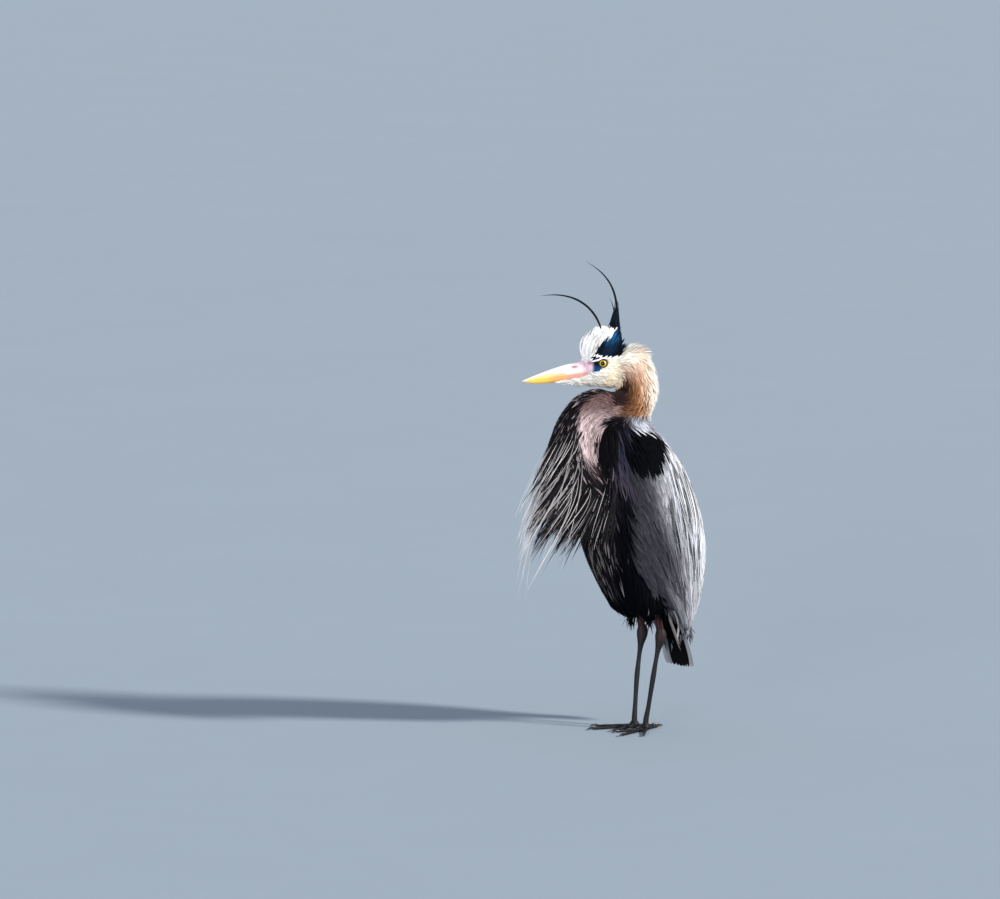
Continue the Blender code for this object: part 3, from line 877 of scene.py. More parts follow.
def crown_black(head):
    """How far the side of the crown is black, from the streak over the eye to the crest."""
    forward, out, up = head.T
    lower = np.interp(forward, *BLACK_EDGE)
    front = 17 - (up - 18) * 0.80
    share = soft(up - lower, -1.5, 2.0) * soft(front - forward, -2.0, 2.5)
    strip = soft(7 - np.abs(out), -2, 3) * soft(forward, -6, 4)
    return share * (1 - strip)


def paint_face(palette, head, normals, chance):
    """Root, tip and edge colours of the head's feathers."""
    forward, _, up = head.T
    warm = 0.7 * soft(-up, 18, 28) + soft(-forward, 8, 26) * soft(14 - up, 0, 6) * 0.6
    cheek = 0.8 * soft(8 - forward, 0, 16) * soft(14 - up, 0, 8)
    pale = layered(
        palette.white,
        (palette.cream, np.clip(warm, 0, 1)),
        (palette.cream * (0.94, 0.90, 0.83), cheek),
        (palette.peach, 0.3 * soft(-forward, 26, 42) * soft(-up, -10, 16)),
    )
    streak = soft(3.6 - np.abs(up - 9.8), 0, 2.0)
    streak *= soft(forward, 5, 9) * soft(27 - forward, 0, 5)
    uneven = 0.2 * chance[:, 0]
    sharp = soft(np.maximum(crown_black(head), streak), 0.35 + uneven, 0.5 + uneven)
    # The crown is tinted blue throughout and bluer where the bump peaks, as a painted sheen
    tint_and_sheen = 0.22 + 0.78 * bump(up, 33, 13) * bump(forward, -10, 20)
    black = mixed(palette.black, palette.blue_tint_and_sheen, tint_and_sheen)
    tip = mixed(pale, black, sharp)
    return mixed(pale * 0.94, black * 0.8, sharp), tip, tip


def paint_nape(palette, where, normals, chance):
    """The upper neck: cream above and behind, rufous at its side and umber before. The cream and
    white behind are painted rim light, and the darkest umber below the chin is painted shade.
    """
    along, level = quarter_view(where)
    along = along + (chance[:, 0] - 0.5) * 9
    level = level + (chance[:, 1] - 0.5) * 9
    brown = mixed(palette.umber, palette.rufous, 0.32)
    # The darkest umber, where the upper neck meets the chin, is painted shade
    dark = np.minimum(2.4 * bump(along, -45, 19) * bump(level, 688, 30), 0.97)
    lobe = mixed(palette.mauve, palette.mauve_pale, 0.25)
    grey = mixed(palette.throat_dark, palette.back_grey, soft(along, -42, -8))
    under = soft(640 - level, -6, 6)
    tip = layered(
        palette.rufous,
        (palette.peach, soft(level, 688, 742)),
        (brown, 0.9 * bump(along, -25, 22) * bump(level, 668, 36)),
        (palette.umber, dark),
        (lobe, soft(-along, 34, 48) * soft(666 - level, 0, 12)),
        (palette.cream, soft(level, 733, 760)),
        (palette.cream, soft(-along, 34, 46) * soft(level, 712, 730)),
        # Peach, cream and white towards the back of the nape are painted rim light
        (palette.peach, 0.6 * soft(along, -8, 4)),
        (palette.cream, soft(along, 2, 14)),
        (palette.white, soft(along, 10, 22) * 0.9),
        (grey, under),
    )
    warm = 0.35 * soft(735 - level, 0, 20) * (1 - under) * (1 - dark)
    # Peach roots towards the back, under the painted rim light
    behind = 0.9 * soft(along, 4, 18) * soft(level, 660, 690)
    base = layered(tip, (palette.rufous, warm), (palette.peach, behind))
    # Feather edges whiten towards the back as painted rim light
    return base, tip, mixed(tip, palette.white, 0.25 * soft(along, 0, 20) * (1 - under))


# How far round from the neck's sides its dark front begins, going up it
FRONT_EDGE = ((520, 572, 615, 664, 700), (-0.05, 0.05, 0.42, 0.80, 0.88))


def outward(where, normals):
    """How squarely each point faces away from the middle of the neck's loop."""
    spoke = where - (0, *LOOP_CENTRE)
    spoke[:, 0] = 0
    return (normals * unit(spoke)).sum(axis=1)


def front_colour(palette, where, normals, chance):
    """Colours of the folded loop and the chest, laid out from a quarter ahead. The black and slate
    of the hollow between the loop and the chest are painted shade.
    """
    z = where[:, 2]
    along, level = quarter_view(where)
    outer = outward(where, normals)
    ragged = level + (chance[:, 2] - 0.5) * 20
    # How far the hollow between the loop and the chest is painted in shade
    inner = soft(along, -82, -76) * soft(638 - ragged, -4, 16)
    inner *= soft(np.where(level > 590, -24.0, 6.0) - along, 0, 16)
    # Painted shade of the hollow: black above, slate and a little mauve lower down
    hollow = mixed(palette.black, palette.slate, soft(608 - level, -12, 18))
    hollow = mixed(hollow, palette.mauve, 0.22 * soft(540 - level, -20, 30))
    brown = mixed(palette.chest, palette.mauve_pale, some(chance[:, 2], 0.8, 0.5))
    grey = mixed(palette.throat_dark, palette.streak, some(chance[:, 2], 0.75, 0.7))
    streaked = (level < 640) & (along < -86) & (chance[:, 0] > 0.84)
    dark = mixed(palette.throat_dark, palette.mauve_pale, np.where(streaked, 0.6, 0.0))
    # A pale rim along the outermost feathers of the loop: partly the foreneck's pale streaks,
    # partly painted rim light
    rim = soft(outer, 0.93, 0.98) * soft(z, 640, 670) * (chance[:, 1] > 0.75)
    return layered(
        palette.mauve,
        # Paler below and darker mauve above: partly the loop's colours, partly painted shade from
        # the upper neck over its top
        (palette.mauve_pale, soft(655 - level, -10, 30)),
        (palette.umber, soft(chance[:, 1], 0.6, 0.8) * 0.25),
        # Slate on the side of the chest: partly its colour, partly painted shade
        (palette.slate, soft(along, -62, -42) * soft(632 - ragged, -10, 14)),
        (hollow, inner * soft(level, 470, 495)),
        (brown, soft(-along, 56, 68) * soft(556 - level, 0, 22)),
        (grey, soft(500 - level, -10, 20) * soft(-along, 20, 40)),
        (dark, soft(outer - np.interp(z, *FRONT_EDGE), -0.05, 0.12)),
        (palette.mauve_pale, 0.85 * rim),
    )


def paint_throat(palette, where, normals, chance):
    """The folded loop: mauve at the sides, streaked dark down the front, slate below; the black
    and slate of its hollow are painted shade.
    """
    tip = front_colour(palette, where, normals, chance)
    return tip * 0.7, tip, mixed(tip, palette.mauve_pale, 0.15)


def with_shoulder(palette, tip, where, rare):
    """The colours with the black patch at the wing's bend and a few white feathers in it."""
    along, level = quarter_view(where)
    reach = np.hypot((along - 7) / 42, (level - 566) / 43)
    patch = soft(1.04 - reach, -0.06, 0.06) * (where[:, 1] < 40)
    white = np.where(rare & (patch > 0.5) & (level > 590), 0.9, 0.0)
    return layered(tip, (palette.black, patch), (palette.white, white)), patch


def paint_body(palette, where, normals, chance):
    """Trunk: grey streaked middle, black shoulder and flanks, pale grey back that turns silver
    behind, partly with painted light.
    """
    y, z = where[:, 1], where[:, 2]
    along, level = quarter_view(where)
    pale = np.where(chance[:, 0] > 0.68, 0.3 + 0.5 * chance[:, 1], 0.03)
    middle_grey = mixed(palette.throat_dark, palette.streak, pale)
    wisps = np.where((chance[:, 1] > 0.985) & (z < 330), 0.85, 0.0)
    front = front_colour(palette, where, normals, chance)
    under = layered(
        palette.black,
        (middle_grey, soft(-along, 44, 62) * soft(z, 268, 300)),
        (palette.streak, wisps),
        (front, soft(level, 455, 490) * soft(-y, 40, 75)),
    )
    # The back turns silver towards the rear: partly its pale plumes, partly painted light
    paler = soft(along, 34, 70) * np.where(chance[:, 0] > 0.4, 0.75, 0.35)
    back = mixed(palette.back_grey, palette.silver_and_painted_light, paler)
    upper = soft(along + 0.2 * (level - 640), -34, -18) * soft(level, 500, 530)
    upper = np.maximum(upper, soft(y, 55, 75) * soft(z, 300, 340))
    tip = mixed(under, back, upper)
    tip, patch = with_shoulder(palette, tip, where, chance[:, 2] > 0.95)
    base = tip * np.where(upper > 0.5, 0.72, 0.8)[:, None]
    return base, tip, mixed(tip, palette.silver_and_painted_light, 0.3 * upper * (1 - patch))


# Where painted light turns the folded wing pale, going up it, and how pale behind that line;
# before it the wing is in painted shade
WING_LEVELS = (210, 256, 305, 355, 404, 453, 502, 560)
WING_LIT_EDGE = (58, 55, 61, 54, 35, 12, 0, -12)
WING_LIT_SHARE = ((0, 16, 33, 49, 66, 82), (0.04, 0.2, 0.5, 0.68, 0.85, 1.0))


def wing_light_and_shade(palette, where):
    """Colour of the folded wing, dark grey as painted shade before and near white as painted light
    behind, and how pale it is.
    """
    along, level = quarter_view(where)
    share = np.interp(along - np.interp(level, WING_LEVELS, WING_LIT_EDGE), *WING_LIT_SHARE)
    return mixed(palette.wing_shade_grey, palette.silver_and_painted_light, share), share


def paint_wing(palette, where, normals, chance):
    """Folded wing: grey painted shade before, near white painted light behind, brown mottling and
    dark gaps of painted shade between.
    """
    along, level = quarter_view(where)
    tip, share = wing_light_and_shade(palette, where)
    brown = bump(along, 52, 40) * bump(level, 440, 70) * 0.4
    tip = mixed(tip, palette.wing_brown, brown * np.where(chance[:, 0] > 0.6, 1.0, 0.1))
    tip, patch = with_shoulder(palette, tip, where, chance[:, 2] > 0.96)
    # Roots darkened to about half as painted shade in the gaps between feathers
    base = tip * (0.5 + 0.05 * share)[:, None]
    return base, tip, mixed(tip, palette.silver_and_painted_light, (0.10 + 0.25 * share) * (1 - patch))


def paint_thigh(palette, where, normals, chance):
    """Black shaggy thighs with a few pale wisps."""
    brown, pale = some(chance[:, 0], 0.9, 0.3), some(chance[:, 1], 0.965, 0.7)
    tip = layered(palette.black, (palette.umber, brown), (palette.streak, pale))
    return tip * 0.9, tip, tip


WING_COAT = ((54, 4.0, 4, 1, 6.2), "contour", "Vane feather", "plumage_grey", paint_wing)
COAT = {
    # each region's length, half width, lift, settle and spacing as the plan holds them, in
    # millimetres and degrees, then its feathers' shape, kind and slot, and what paints them
    "head": ((10, 1.7, 9, 2, 2.3), "hair", "Down", "plumage_white", paint_face),
    "nape": ((22, 1.15, 12, 7, 2.9), "hair", "Down", "plumage_buff", paint_nape),
    "throat": ((22, 1.5, 12, 4, 3.5), "hair", "Soft feather", "plumage_buff", paint_throat),
    "belly": ((56, 2.0, 7, 4, 5.2), "lance", "Vane feather", "plumage_grey", paint_body),
    "back": ((44, 3.7, 5, 1, 5.6), "contour", "Vane feather", "plumage_grey", paint_body),
    "wing_left": WING_COAT,
    "wing_right": WING_COAT,
    "thighs": ((30, 1.8, 9, 8, 4.4), "hair", "Soft feather", "plumage_black", paint_thigh),
}
REGIONS = tuple(COAT)


def plumage(palette, where, head, normals, region, chance):
    """Root, tip and edge colour for the feather at each point."""
    found = [np.zeros((len(where), 3)) for _ in range(3)]
    for number, name in enumerate(REGIONS):
        here = region == number
        if not here.any():
            continue
        places = head if name == "head" else where
        painter = COAT[name][-1]
        made = painter(palette, places[here], normals[here], chance[here])
        if name == "nape":
            dark = soft(crown_black(head[here]), 0.4, 0.6)
            made = [mixed(colours, palette.black, dark) for colours in made]
        for target, colours in zip(found, made):
            target[here] = colours
    return found


def bare_colours(palette, head):
    """Bare skin of the face: blue black lore, pink at the bill's base, dark round the eye."""
    forward, _, up = head.T
    magenta = bump(up, 0.5, 3.2) * soft(forward, 18, 22) * soft(34 - forward, 0, 6)
    return layered(
        palette.black * 2,
        (palette.lore, soft(-up, 2, 8)),
        (palette.bill_pink, soft(forward, 17, 24)),
        (palette.gape * 0.75, magenta),
        (palette.bill_peach, 0.7 * soft(-up, 15, 22) * soft(forward, 18, 26)),
        (palette.lid, soft(10.2 - np.hypot(forward, up), 0, 1.6)),
    )


# ---------------------------------------------------------------- feathers


def blade_shape(steps):
    """A closed three-sided blade: x across, y up to its ridge, z in steps from its root."""
    bm = bmesh.new()
    bmesh.ops.create_cone(
        bm, cap_ends=True, cap_tris=False, segments=3, radius1=1, radius2=1, depth=steps
    )
    bmesh.ops.translate(bm, verts=bm.verts, vec=(0, 0, steps / 2))
    for level in range(1, steps):
        geometry = bm.verts[:] + bm.edges[:] + bm.faces[:]
        bmesh.ops.bisect_plane(bm, geom=geometry, plane_co=(0, 0, level), plane_no=(0, 0, 1))
    tip = [v for v in bm.verts if v.co.z > steps - 0.5]
    bmesh.ops.pointmerge(bm, verts=tip, merge_co=(0, 0, steps))
    bmesh.ops.triangulate(bm, faces=bm.faces)
    bmesh.ops.recalc_face_normals(bm, faces=bm.faces)
    bm.verts.index_update()
    points = np.array([v.co for v in bm.verts])
    faces = np.array([[v.index for v in f.verts] for f in bm.faces])
    bm.free()
    widest = np.abs(points[:, 0]).max()
    across = np.round(points[:, 0] / widest)
    level = np.round(points[:, 2]).astype(int)
    ridge = np.where((points[:, 1] > 0.1) & (level < steps), 1.0, 0.0)
    return across, ridge, level, faces


# Centimetres over which feathers start at random on the vane map
VANE_RANGE = 50
SHAPES = {
    # along the length, how wide the feather is
    "contour": ((0, 0.45), (0.3, 0.9), (0.6, 1.0), (0.85, 0.72), (1, 0)),
    "hair": ((0, 0.8), (0.25, 1.0), (0.6, 0.75), (0.85, 0.4), (1, 0)),
    "lance": ((0, 0.5), (0.25, 1.0), (0.55, 0.92), (0.8, 0.5), (1, 0)),
    "vane": ((0, 0.35), (0.12, 0.8), (0.5, 1.0), (0.88, 0.9), (0.95, 0.7), (0.985, 0.4), (1, 0)),
}


class Feathers:
    """Feathers gathered for one piece: their shafts, sizes and colours."""

    def __init__(self, steps, shape):
        self.steps, self.shape = steps, shape
        self.shafts, self.ups, self.sizes, self.colours, self.roots = [], [], [], [], []

    def add(self, shaft, ups, half_width, thickness, colours, root_uv):
        """Adds a feather; ups is the way its upper side faces, at each step or all along."""
        self.shafts.append(shaft)
        self.ups.append([ups] * len(shaft) if isinstance(ups, Vector) else ups)
        self.sizes.append((half_width, thickness))
        self.colours.append(colours)
        self.roots.append(root_uv)

    def arrays(self, rng, unevenness, twist):
        """Points, colours, both UVs and faces of all the feathers."""
        across, ridge, level, faces = blade_shape(self.steps)
        shafts = np.array(self.shafts, float)
        ups = np.array(self.ups, float)
        sizes = np.array(self.sizes) * MM
        colours = np.array(self.colours, float)
        roots = np.array(self.roots, float)
        count = len(shafts)
        tangents = unit(np.gradient(shafts, axis=1))
        sides = unit(np.cross(tangents, ups))
        ups = np.cross(sides, tangents)
        turn = rng.uniform(-1, 1, (count, 1, 1)) * twist
        sides, ups = (
            sides * np.cos(turn) + ups * np.sin(turn),
            ups * np.cos(turn) - sides * np.sin(turn),
        )
        steps = np.linalg.norm(np.diff(shafts, axis=1), axis=2)
        run = np.concatenate([np.zeros((count, 1)), steps.cumsum(axis=1)], axis=1)
        t = (run / run[:, -1:])[:, level]
        run = run[:, level]
        profile = np.array(SHAPES[self.shape])
        width = np.interp(t, profile[:, 0], profile[:, 1])
        wide = sizes[:, 0, None] * width * across[None]
        high = sizes[:, 1, None] * (0.35 + 0.65 * width) * (ridge[None] - 0.3)
        points = shafts[:, level] + sides[:, level] * wide[..., None]
        points += ups[:, level] * np.where(level < self.steps, high, 0)[..., None]
        shade = 1 + rng.uniform(-1, 1, (count, 1, 1)) * unevenness
        along = (t**1.3)[..., None]
        tint = colours[:, None, 0] * (1 - along) + colours[:, None, 1] * along
        rim = np.abs(across)[None, :, None] * 0.8 * along**0.5
        tint = (tint * (1 - rim) + colours[:, None, 2] * rim) * shade
        offset = rng.uniform(0, VANE_RANGE, (count, 1))
        vane = np.stack([wide, run + offset * MM * 10], axis=2) / MM * CM
        part = level / self.steps
        inside = np.stack([across * 0.5, part - 0.5 + 0.15 * ridge], axis=1)
        bake = roots[:, None] + inside[None] * TUFT_PATCH
        all_faces = faces[None] + (np.arange(count) * len(across))[:, None, None]
        return points, tint, vane, bake, all_faces


def feather_mesh(name, batches, rng):
    """One mesh holding every feather of these batches."""
    coat = bpy.context.scene.heron_coat
    made = [batch.arrays(rng, coat.unevenness, coat.twist) for batch in batches if batch.shafts]
    points, tints = (np.concatenate([m[k].reshape(-1, 3) for m in made]) for k in (0, 1))
    vane, bake = (np.concatenate([m[k].reshape(-1, 2) for m in made]) for k in (2, 3))
    starts = np.cumsum([0] + [m[0].reshape(-1, 3).shape[0] for m in made[:-1]])
    faces = np.concatenate([m[4].reshape(-1, 3) + start for m, start in zip(made, starts)])
    mesh = bpy.data.meshes.new(name)
    mesh.vertices.add(len(points))
    mesh.loops.add(len(faces) * 3)
    mesh.polygons.add(len(faces))
    mesh.vertices.foreach_set("co", points.astype(np.float32).ravel())
    mesh.loops.foreach_set("vertex_index", faces.astype(np.int32).ravel())
    mesh.polygons.foreach_set("loop_start", np.arange(0, len(faces) * 3, 3, dtype=np.int32))
    mesh.update(calc_edges=True)
    mesh.validate()
    corners = faces.ravel()
    for layer_name, values in ((BAKE_MAP, bake), (VANE_MAP, vane)):
        layer = mesh.uv_layers.new(name=layer_name)
        layer.data.foreach_set("uv", values[corners].astype(np.float32).ravel())
    paint(mesh, tints)
    mesh.shade_smooth()
    mesh.set_sharp_from_angle(angle=math.radians(EDGE_ANGLE))
    return mesh


def add_feathers(name, gather, draws, kind, slot, *nodes, of=()):
    """Adds a piece of the feathers that gather gives, all of one kind, with its own draws."""
    rng = np.random.default_rng(SEED + draws)
    mesh = feather_mesh(name, gather(the_pelt(), Palette(), rng, *of), rng)
    add_piece(name, mesh, feather_material(kind), slot, *nodes)


# How nearly a shaft and the skin under it must face and lie one way for it to stay on the skin
LEAST_FACING, LEAST_LIE = 0.4, 0.6


def shaft_on(pelt, start, face, size, lift, settle, steps, turn, free=0.5, hang=0.0):
    """A shaft that leaves the skin at its lift and follows the lie of the coat as it settles.

    Where the skin falls away it goes on free, and turns down by its hang at each step."""
    way, normal = pelt.tri_way[face], pelt.tri_normal[face]
    step = size * MM / steps
    height = 0.0
    point = Vector(start)
    shaft, ups = [point], [normal]
    for k in range(steps):
        angle = lift + (settle - lift) * k / max(steps - 1, 1)
        side = normal.cross(way)
        heading = way * math.cos(turn) + side * math.sin(turn)
        point = point + (heading * math.cos(angle) + normal * math.sin(angle)) * step
        height += math.sin(angle) * step
        near, _, face, gap = pelt.tree.find_nearest(point)
        facing, lie = pelt.tri_normal[face], pelt.tri_way[face]
        alike = facing.dot(normal) > LEAST_FACING and lie.dot(way) > LEAST_LIE
        if gap < height + free * step and alike:
            normal = facing
            way = (way + lie).normalized()
            way = (way - normal * way.dot(normal)).normalized()
            point = near + normal * height
        else:
            way = (way + Vector((0, 0, -hang))).normalized()
        shaft.append(point)
        ups.append(normal)
    return shaft, ups


# Roots drawn for each one that finds room, and how close two may stand for their spacing
DRAWN, CLOSEST = 3.2, 0.8
# The most of a face that may be bare where a feather roots
MOST_BARE = 0.34


def scattered(pelt, region, spacing_scale, rng):
    """Roots spread over a region of the skin, none nearer to another than its coat's spacing."""
    spacing = pelt.of_tris(pelt.plan["spacing"]) / spacing_scale
    here = pelt.of_tris((pelt.region == region).astype(float)) > 0.5
    here &= pelt.of_tris(pelt.plan["bare"].astype(float)) < MOST_BARE
    weight = np.where(here, pelt.area / spacing**2, 0)
    count = int(weight.sum() * DRAWN)
    faces = rng.choice(len(weight), count, p=weight / weight.sum())
    a, b = rng.uniform(0, 1, (2, count))
    a, b = np.where(a + b > 1, 1 - a, a), np.where(a + b > 1, 1 - b, b)
    shares = np.stack([1 - a - b, a, b], axis=1)
    points = (pelt.points[pelt.tris[faces]] * shares[..., None]).sum(axis=1)
    crowd = KDTree(count)
    for k, point in enumerate(points):
        crowd.insert(point, k)
    crowd.balance()
    taken = np.zeros(count, bool)
    kept = []
    for k in range(count):
        if taken[k]:
            continue
        kept.append(k)
        for _, other, _ in crowd.find_range(points[k], CLOSEST * spacing[faces[k]] * MM):
            taken[other] = True
    kept = np.array(kept)
    return points[kept], faces[kept], shares[kept]


def values_at(pelt, values, faces, shares):
    """Values of the skin's points at places inside its faces."""
    return (values[pelt.tris[faces]] * shares).sum(axis=1)


# How far along a feather the place lies that its colour is taken from
SHOWN = 0.55
# Degrees by which feathers spread from the lie, and the range of their sizes
TURN_SPREAD, SIZE_RANGE = 6, (0.78, 1.2)
# A region of feathers shorter than this in the mean has one step fewer to each
SHORT_COAT = 20
# Below this height in the part's frame the coat hangs by this much a step
HANG_LEVEL, COAT_HANG = 300, 0.5


def region_feathers(pelt, palette, rng, name):
    """The short coat of one region."""
    coat = bpy.context.scene.heron_coat
    number = REGIONS.index(name)
    points, faces, shares = scattered(pelt, number, coat.fullness, rng)
    chance = rng.uniform(0, 1, (len(points), 3))
    # a feather is painted by the place that its middle covers
    lengths = values_at(pelt, pelt.plan["length"], faces, shares)
    shown = [
        pelt.tree.find_nearest(Vector(point) + pelt.tri_way[face] * size * SHOWN * MM)
        for point, face, size in zip(points, faces, lengths)
    ]
    places = np.array([found[0] for found in shown])
    fronts = np.array([pelt.tri_normal[found[2]] for found in shown])
    kinds = pelt.region[pelt.tris[[found[2] for found in shown], 0]]
    if name == "head":
        kinds = np.full(len(points), number)
    where, head = bird_of(places), head_of(places)
    base, tip, edge = plumage(palette, where, head, fronts, kinds, chance)
    roots = (pelt.tri_uv[faces] * shares[..., None]).sum(axis=1)
    plan = {key: values_at(pelt, pelt.plan[key], faces, shares) for key in PLAN[:4]}
    made = Feathers(4 if plan["length"].mean() < SHORT_COAT else 5, COAT[name][1])
    turns = rng.normal(0, math.radians(TURN_SPREAD), len(points))
    scale = rng.uniform(*SIZE_RANGE, len(points))
    for k, (point, face) in enumerate(zip(points, faces)):
        size = plan["length"][k] * scale[k]
        if name == "head":
            size *= 1 - 0.65 * float(soft(head[k, 2], 52, 66))
        half = plan["half_width"][k] * (0.8 + 0.4 * chance[k, 1])
        lift, settle = (math.radians(plan[key][k]) for key in ("lift", "settle"))
        hang = COAT_HANG if point[2] / MM < HANG_LEVEL else 0.0
        angles = lift, settle, made.steps, turns[k]
        shaft, ups = shaft_on(pelt, point, face, size, *angles, hang=hang)
        made.add(shaft, ups, half, 0.12 * half + 0.3, (base[k], tip[k], edge[k]), roots[k])
    return [made]


def on_skin(pelt, place):
    """The nearest point of the skin to a place, its face and its place on the unwrap."""
    near, _, face, _ = pelt.tree.find_nearest(place)
    return near, face, pelt.mark(face)


# ---------------------------------------------------------------- pieces


# A core that fills the hollow behind the breast: its centre and radii
BREAST_CORE = ((-26, -192, 512), (34, 20, 78))


def add_ball(bm, place, radii, segments, rings):
    """Adds a ball with three radii in millimetres."""
    matrix = Matrix.Translation(place) @ Matrix.Diagonal((*(r * MM for r in radii), 1))
    counts = {"u_segments": segments, "v_segments": rings}
    bmesh.ops.create_uvsphere(bm, radius=1, matrix=matrix, **counts)


def joined_by_cells(bm, cell):
    """The bmesh's solids joined into one by small cells. It uses up the bmesh it is given."""
    mesh = bpy.data.meshes.new("joined")
    bm.to_mesh(mesh)
    bm.free()
    obj = bpy.data.objects.new("joined", mesh)
    bpy.context.scene.collection.objects.link(obj)
    cells = obj.modifiers.new("Cells", "REMESH")
    cells.mode = "VOXEL"
    cells.voxel_size = cell
    bpy.context.view_layer.update()
    graph = bpy.context.evaluated_depsgraph_get()
    joined = bpy.data.meshes.new_from_object(obj.evaluated_get(graph))
    made = bmesh.new()
    made.from_mesh(joined)
    bpy.data.objects.remove(obj)
    for used in (mesh, joined):
        bpy.data.meshes.remove(used)
    return made


def fleshy_solid():
    """All the flesh as one closed solid: each node grown a little, then joined."""
    coat = bpy.context.scene.heron_coat
    bm = bmesh.new()
    for name in FLESH:
        part = bmesh.new()
        part.from_mesh(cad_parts[name].data)
        bmesh.ops.remove_doubles(part, verts=part.verts, dist=0.02 * MM)
        part.normal_update()
        for vert in part.verts:
            vert.co += vert.normal * coat.overlap
        copied = bpy.data.meshes.new(name + "_grown")
        part.to_mesh(copied)
        part.free()
        bm.from_mesh(copied)
        bpy.data.meshes.remove(copied)
    centre, radii = BREAST_CORE
    add_ball(bm, at(*centre), radii, 32, 20)
    return joined_by_cells(bm, coat.skin_grain)


def smoothed(bm, times, strength=0.5):
    axes = {"use_axis_" + axis: True for axis in "xyz"}
    for _ in range(times):
        bmesh.ops.smooth_vert(bm, verts=bm.verts, factor=strength, **axes)


# The most of the body's thickness that the skin may sink by
MOST_SUNK = 0.34


def sunk(bm, depth_of):
    """Moves every point inwards by its depth, or by a third of the body's thickness there."""
    bm.normal_update()
    tree = BVHTree.FromBMesh(bm)
    places = np.array([v.co for v in bm.verts])
    depths = depth_of(places)
    moves = []
    for vert, depth in zip(bm.verts, depths):
        start = vert.co - vert.normal * 0.5 * MM
        _, _, _, thickness = tree.ray_cast(start, -vert.normal)
        moves.append(min(depth, (thickness or 1) * MOST_SUNK))
    for vert, move in zip(bm.verts, moves):
        vert.co -= vert.normal * move


def coat_depth(places):
    """How far the skin lies under the solids' outline at each place."""
    coat = bpy.context.scene.heron_coat
    head = head_of(places)
    forward, _, up = head.T
    face = soft(forward, -55, -25) * soft(up, -60, -48)
    crown = face * soft(up, 12, 34)
    where = bird_of(places)
    _, y, z = where.T
    neck = np.maximum(soft(z, 600, 650), soft(-y, 100, 140) * soft(z, 470, 520))
    behind = soft(quarter_view(where)[0], 6, 22) * soft(z, 600, 640)
    depth = coat.body_depth * (1 - neck) + coat.neck_depth * neck + coat.nape_depth * behind
    depth = depth * (1 - face) + coat.face_depth * face
    return depth * (1 - crown) + coat.crown_depth * crown + coat.overlap


def unwrapped(context, obj):
    """Lays the whole skin out flat on its map."""
    obj.data.uv_layers.new(name=BAKE_MAP)
    context.view_layer.objects.active = obj
    obj.select_set(True)
    bpy.ops.object.mode_set(mode="EDIT")
    bpy.ops.mesh.select_all(action="SELECT")
    bpy.ops.uv.smart_project(angle_limit=math.radians(66), island_margin=0.004)
    bpy.ops.object.mode_set(mode="OBJECT")
    obj.select_set(False)


def skin_colours(pelt, palette):
    """The coat's markings, darker, and the bare skin of the face as it shows."""
    rng = np.random.default_rng(SEED)
    chance = rng.uniform(0, 1, (len(pelt.points), 3))
    made = plumage(palette, pelt.where, pelt.head, pelt.normals, pelt.region, chance)
    bare = bare_face(pelt.head) & (pelt.region == 0)
    covered = made[1] * 0.7 + made[0] * 0.1
    return np.where(bare[:, None], bare_colours(palette, pelt.head), covered)


class HERON_OT_skin(bpy.types.Operator):
    """Make one skin under all the plumage, with the same markings"""

    bl_idname = "heron.skin"
    bl_label = "Skin"

    def execute(self, context):
        bm = fleshy_solid()
        smoothed(bm, 10)
        sunk(bm, coat_depth)
        smoothed(bm, 4)
        bmesh.ops.triangulate(bm, faces=bm.faces)
        mesh = mesh_of("skin", bm)
        obj = add_piece("skin", mesh, skin_material(), "plumage_grey", *FLESH)
        unwrapped(context, obj)
        PELT["pelt"] = Pelt(mesh)
        paint(mesh, skin_colours(PELT["pelt"], Palette()))
        return {"FINISHED"}


class HERON_OT_coat(bpy.types.Operator):
    """Cover the skin with short feathers, region by region"""

    bl_idname = "heron.coat"
    bl_label = "Coat"

    def execute(self, context):
        for number, name in enumerate(REGIONS):
            _, _, kind, slot, _ = COAT[name]
            draws = COAT_DRAWS + number
            add_feathers("coat_" + name, region_feathers, draws, kind, slot, of=(name,))
        return {"FINISHED"}


# Steps along a long feather, and the length under which it is shortened no further
LONG_STEPS = 12
SHORTEST_LONG = 30


def within_wing(pelt, start, face, size, lift, settle, turn):
    """A long shaft over the wing, shortened until it ends above the wing's lowest point."""
    angles = math.radians(lift), math.radians(settle)
    while True:
        shaft, ups = shaft_on(pelt, start, face, size, *angles, LONG_STEPS, turn, 0.35, 0.12)
        if size < SHORTEST_LONG or bird_of(np.array(shaft[-1]))[2] > WING_LOWEST:
            return shaft, ups
        size *= 0.86


def plume_colours(palette, shaft, gap_shade_share, rng):
    """Root, tip and edge colours of a long feather that lies over the wing, in the wing's painted
    light and shade; by its share some are darkened at random as painted shade in the gaps between
    plumes.
    """
    tones, share = wing_light_and_shade(palette, bird_of(np.array([shaft[0], shaft[-2]])))
    shade = rng.uniform(0.88, 1.12)
    # A darkened feather stands for the shade in a gap between plumes
    if rng.uniform() < gap_shade_share:
        shade *= rng.uniform(0.35, 0.7)
    root, tip = np.clip(tones * shade, 0, 1)
    return root * 0.8, tip, mixed(tip, palette.white, 0.1 + 0.3 * share[1])


WING_ROWS = (
    # count, first and last root as y and z, first and last length, half width, lift
    (26, (-50, 350), (98, 372), (168, 118), 3.8, 2.6),
    (28, (-58, 392), (104, 430), (128, 118), 3.6, 3.2),
    (26, (-62, 440), (104, 490), (104, 104), 3.6, 3.4),
)


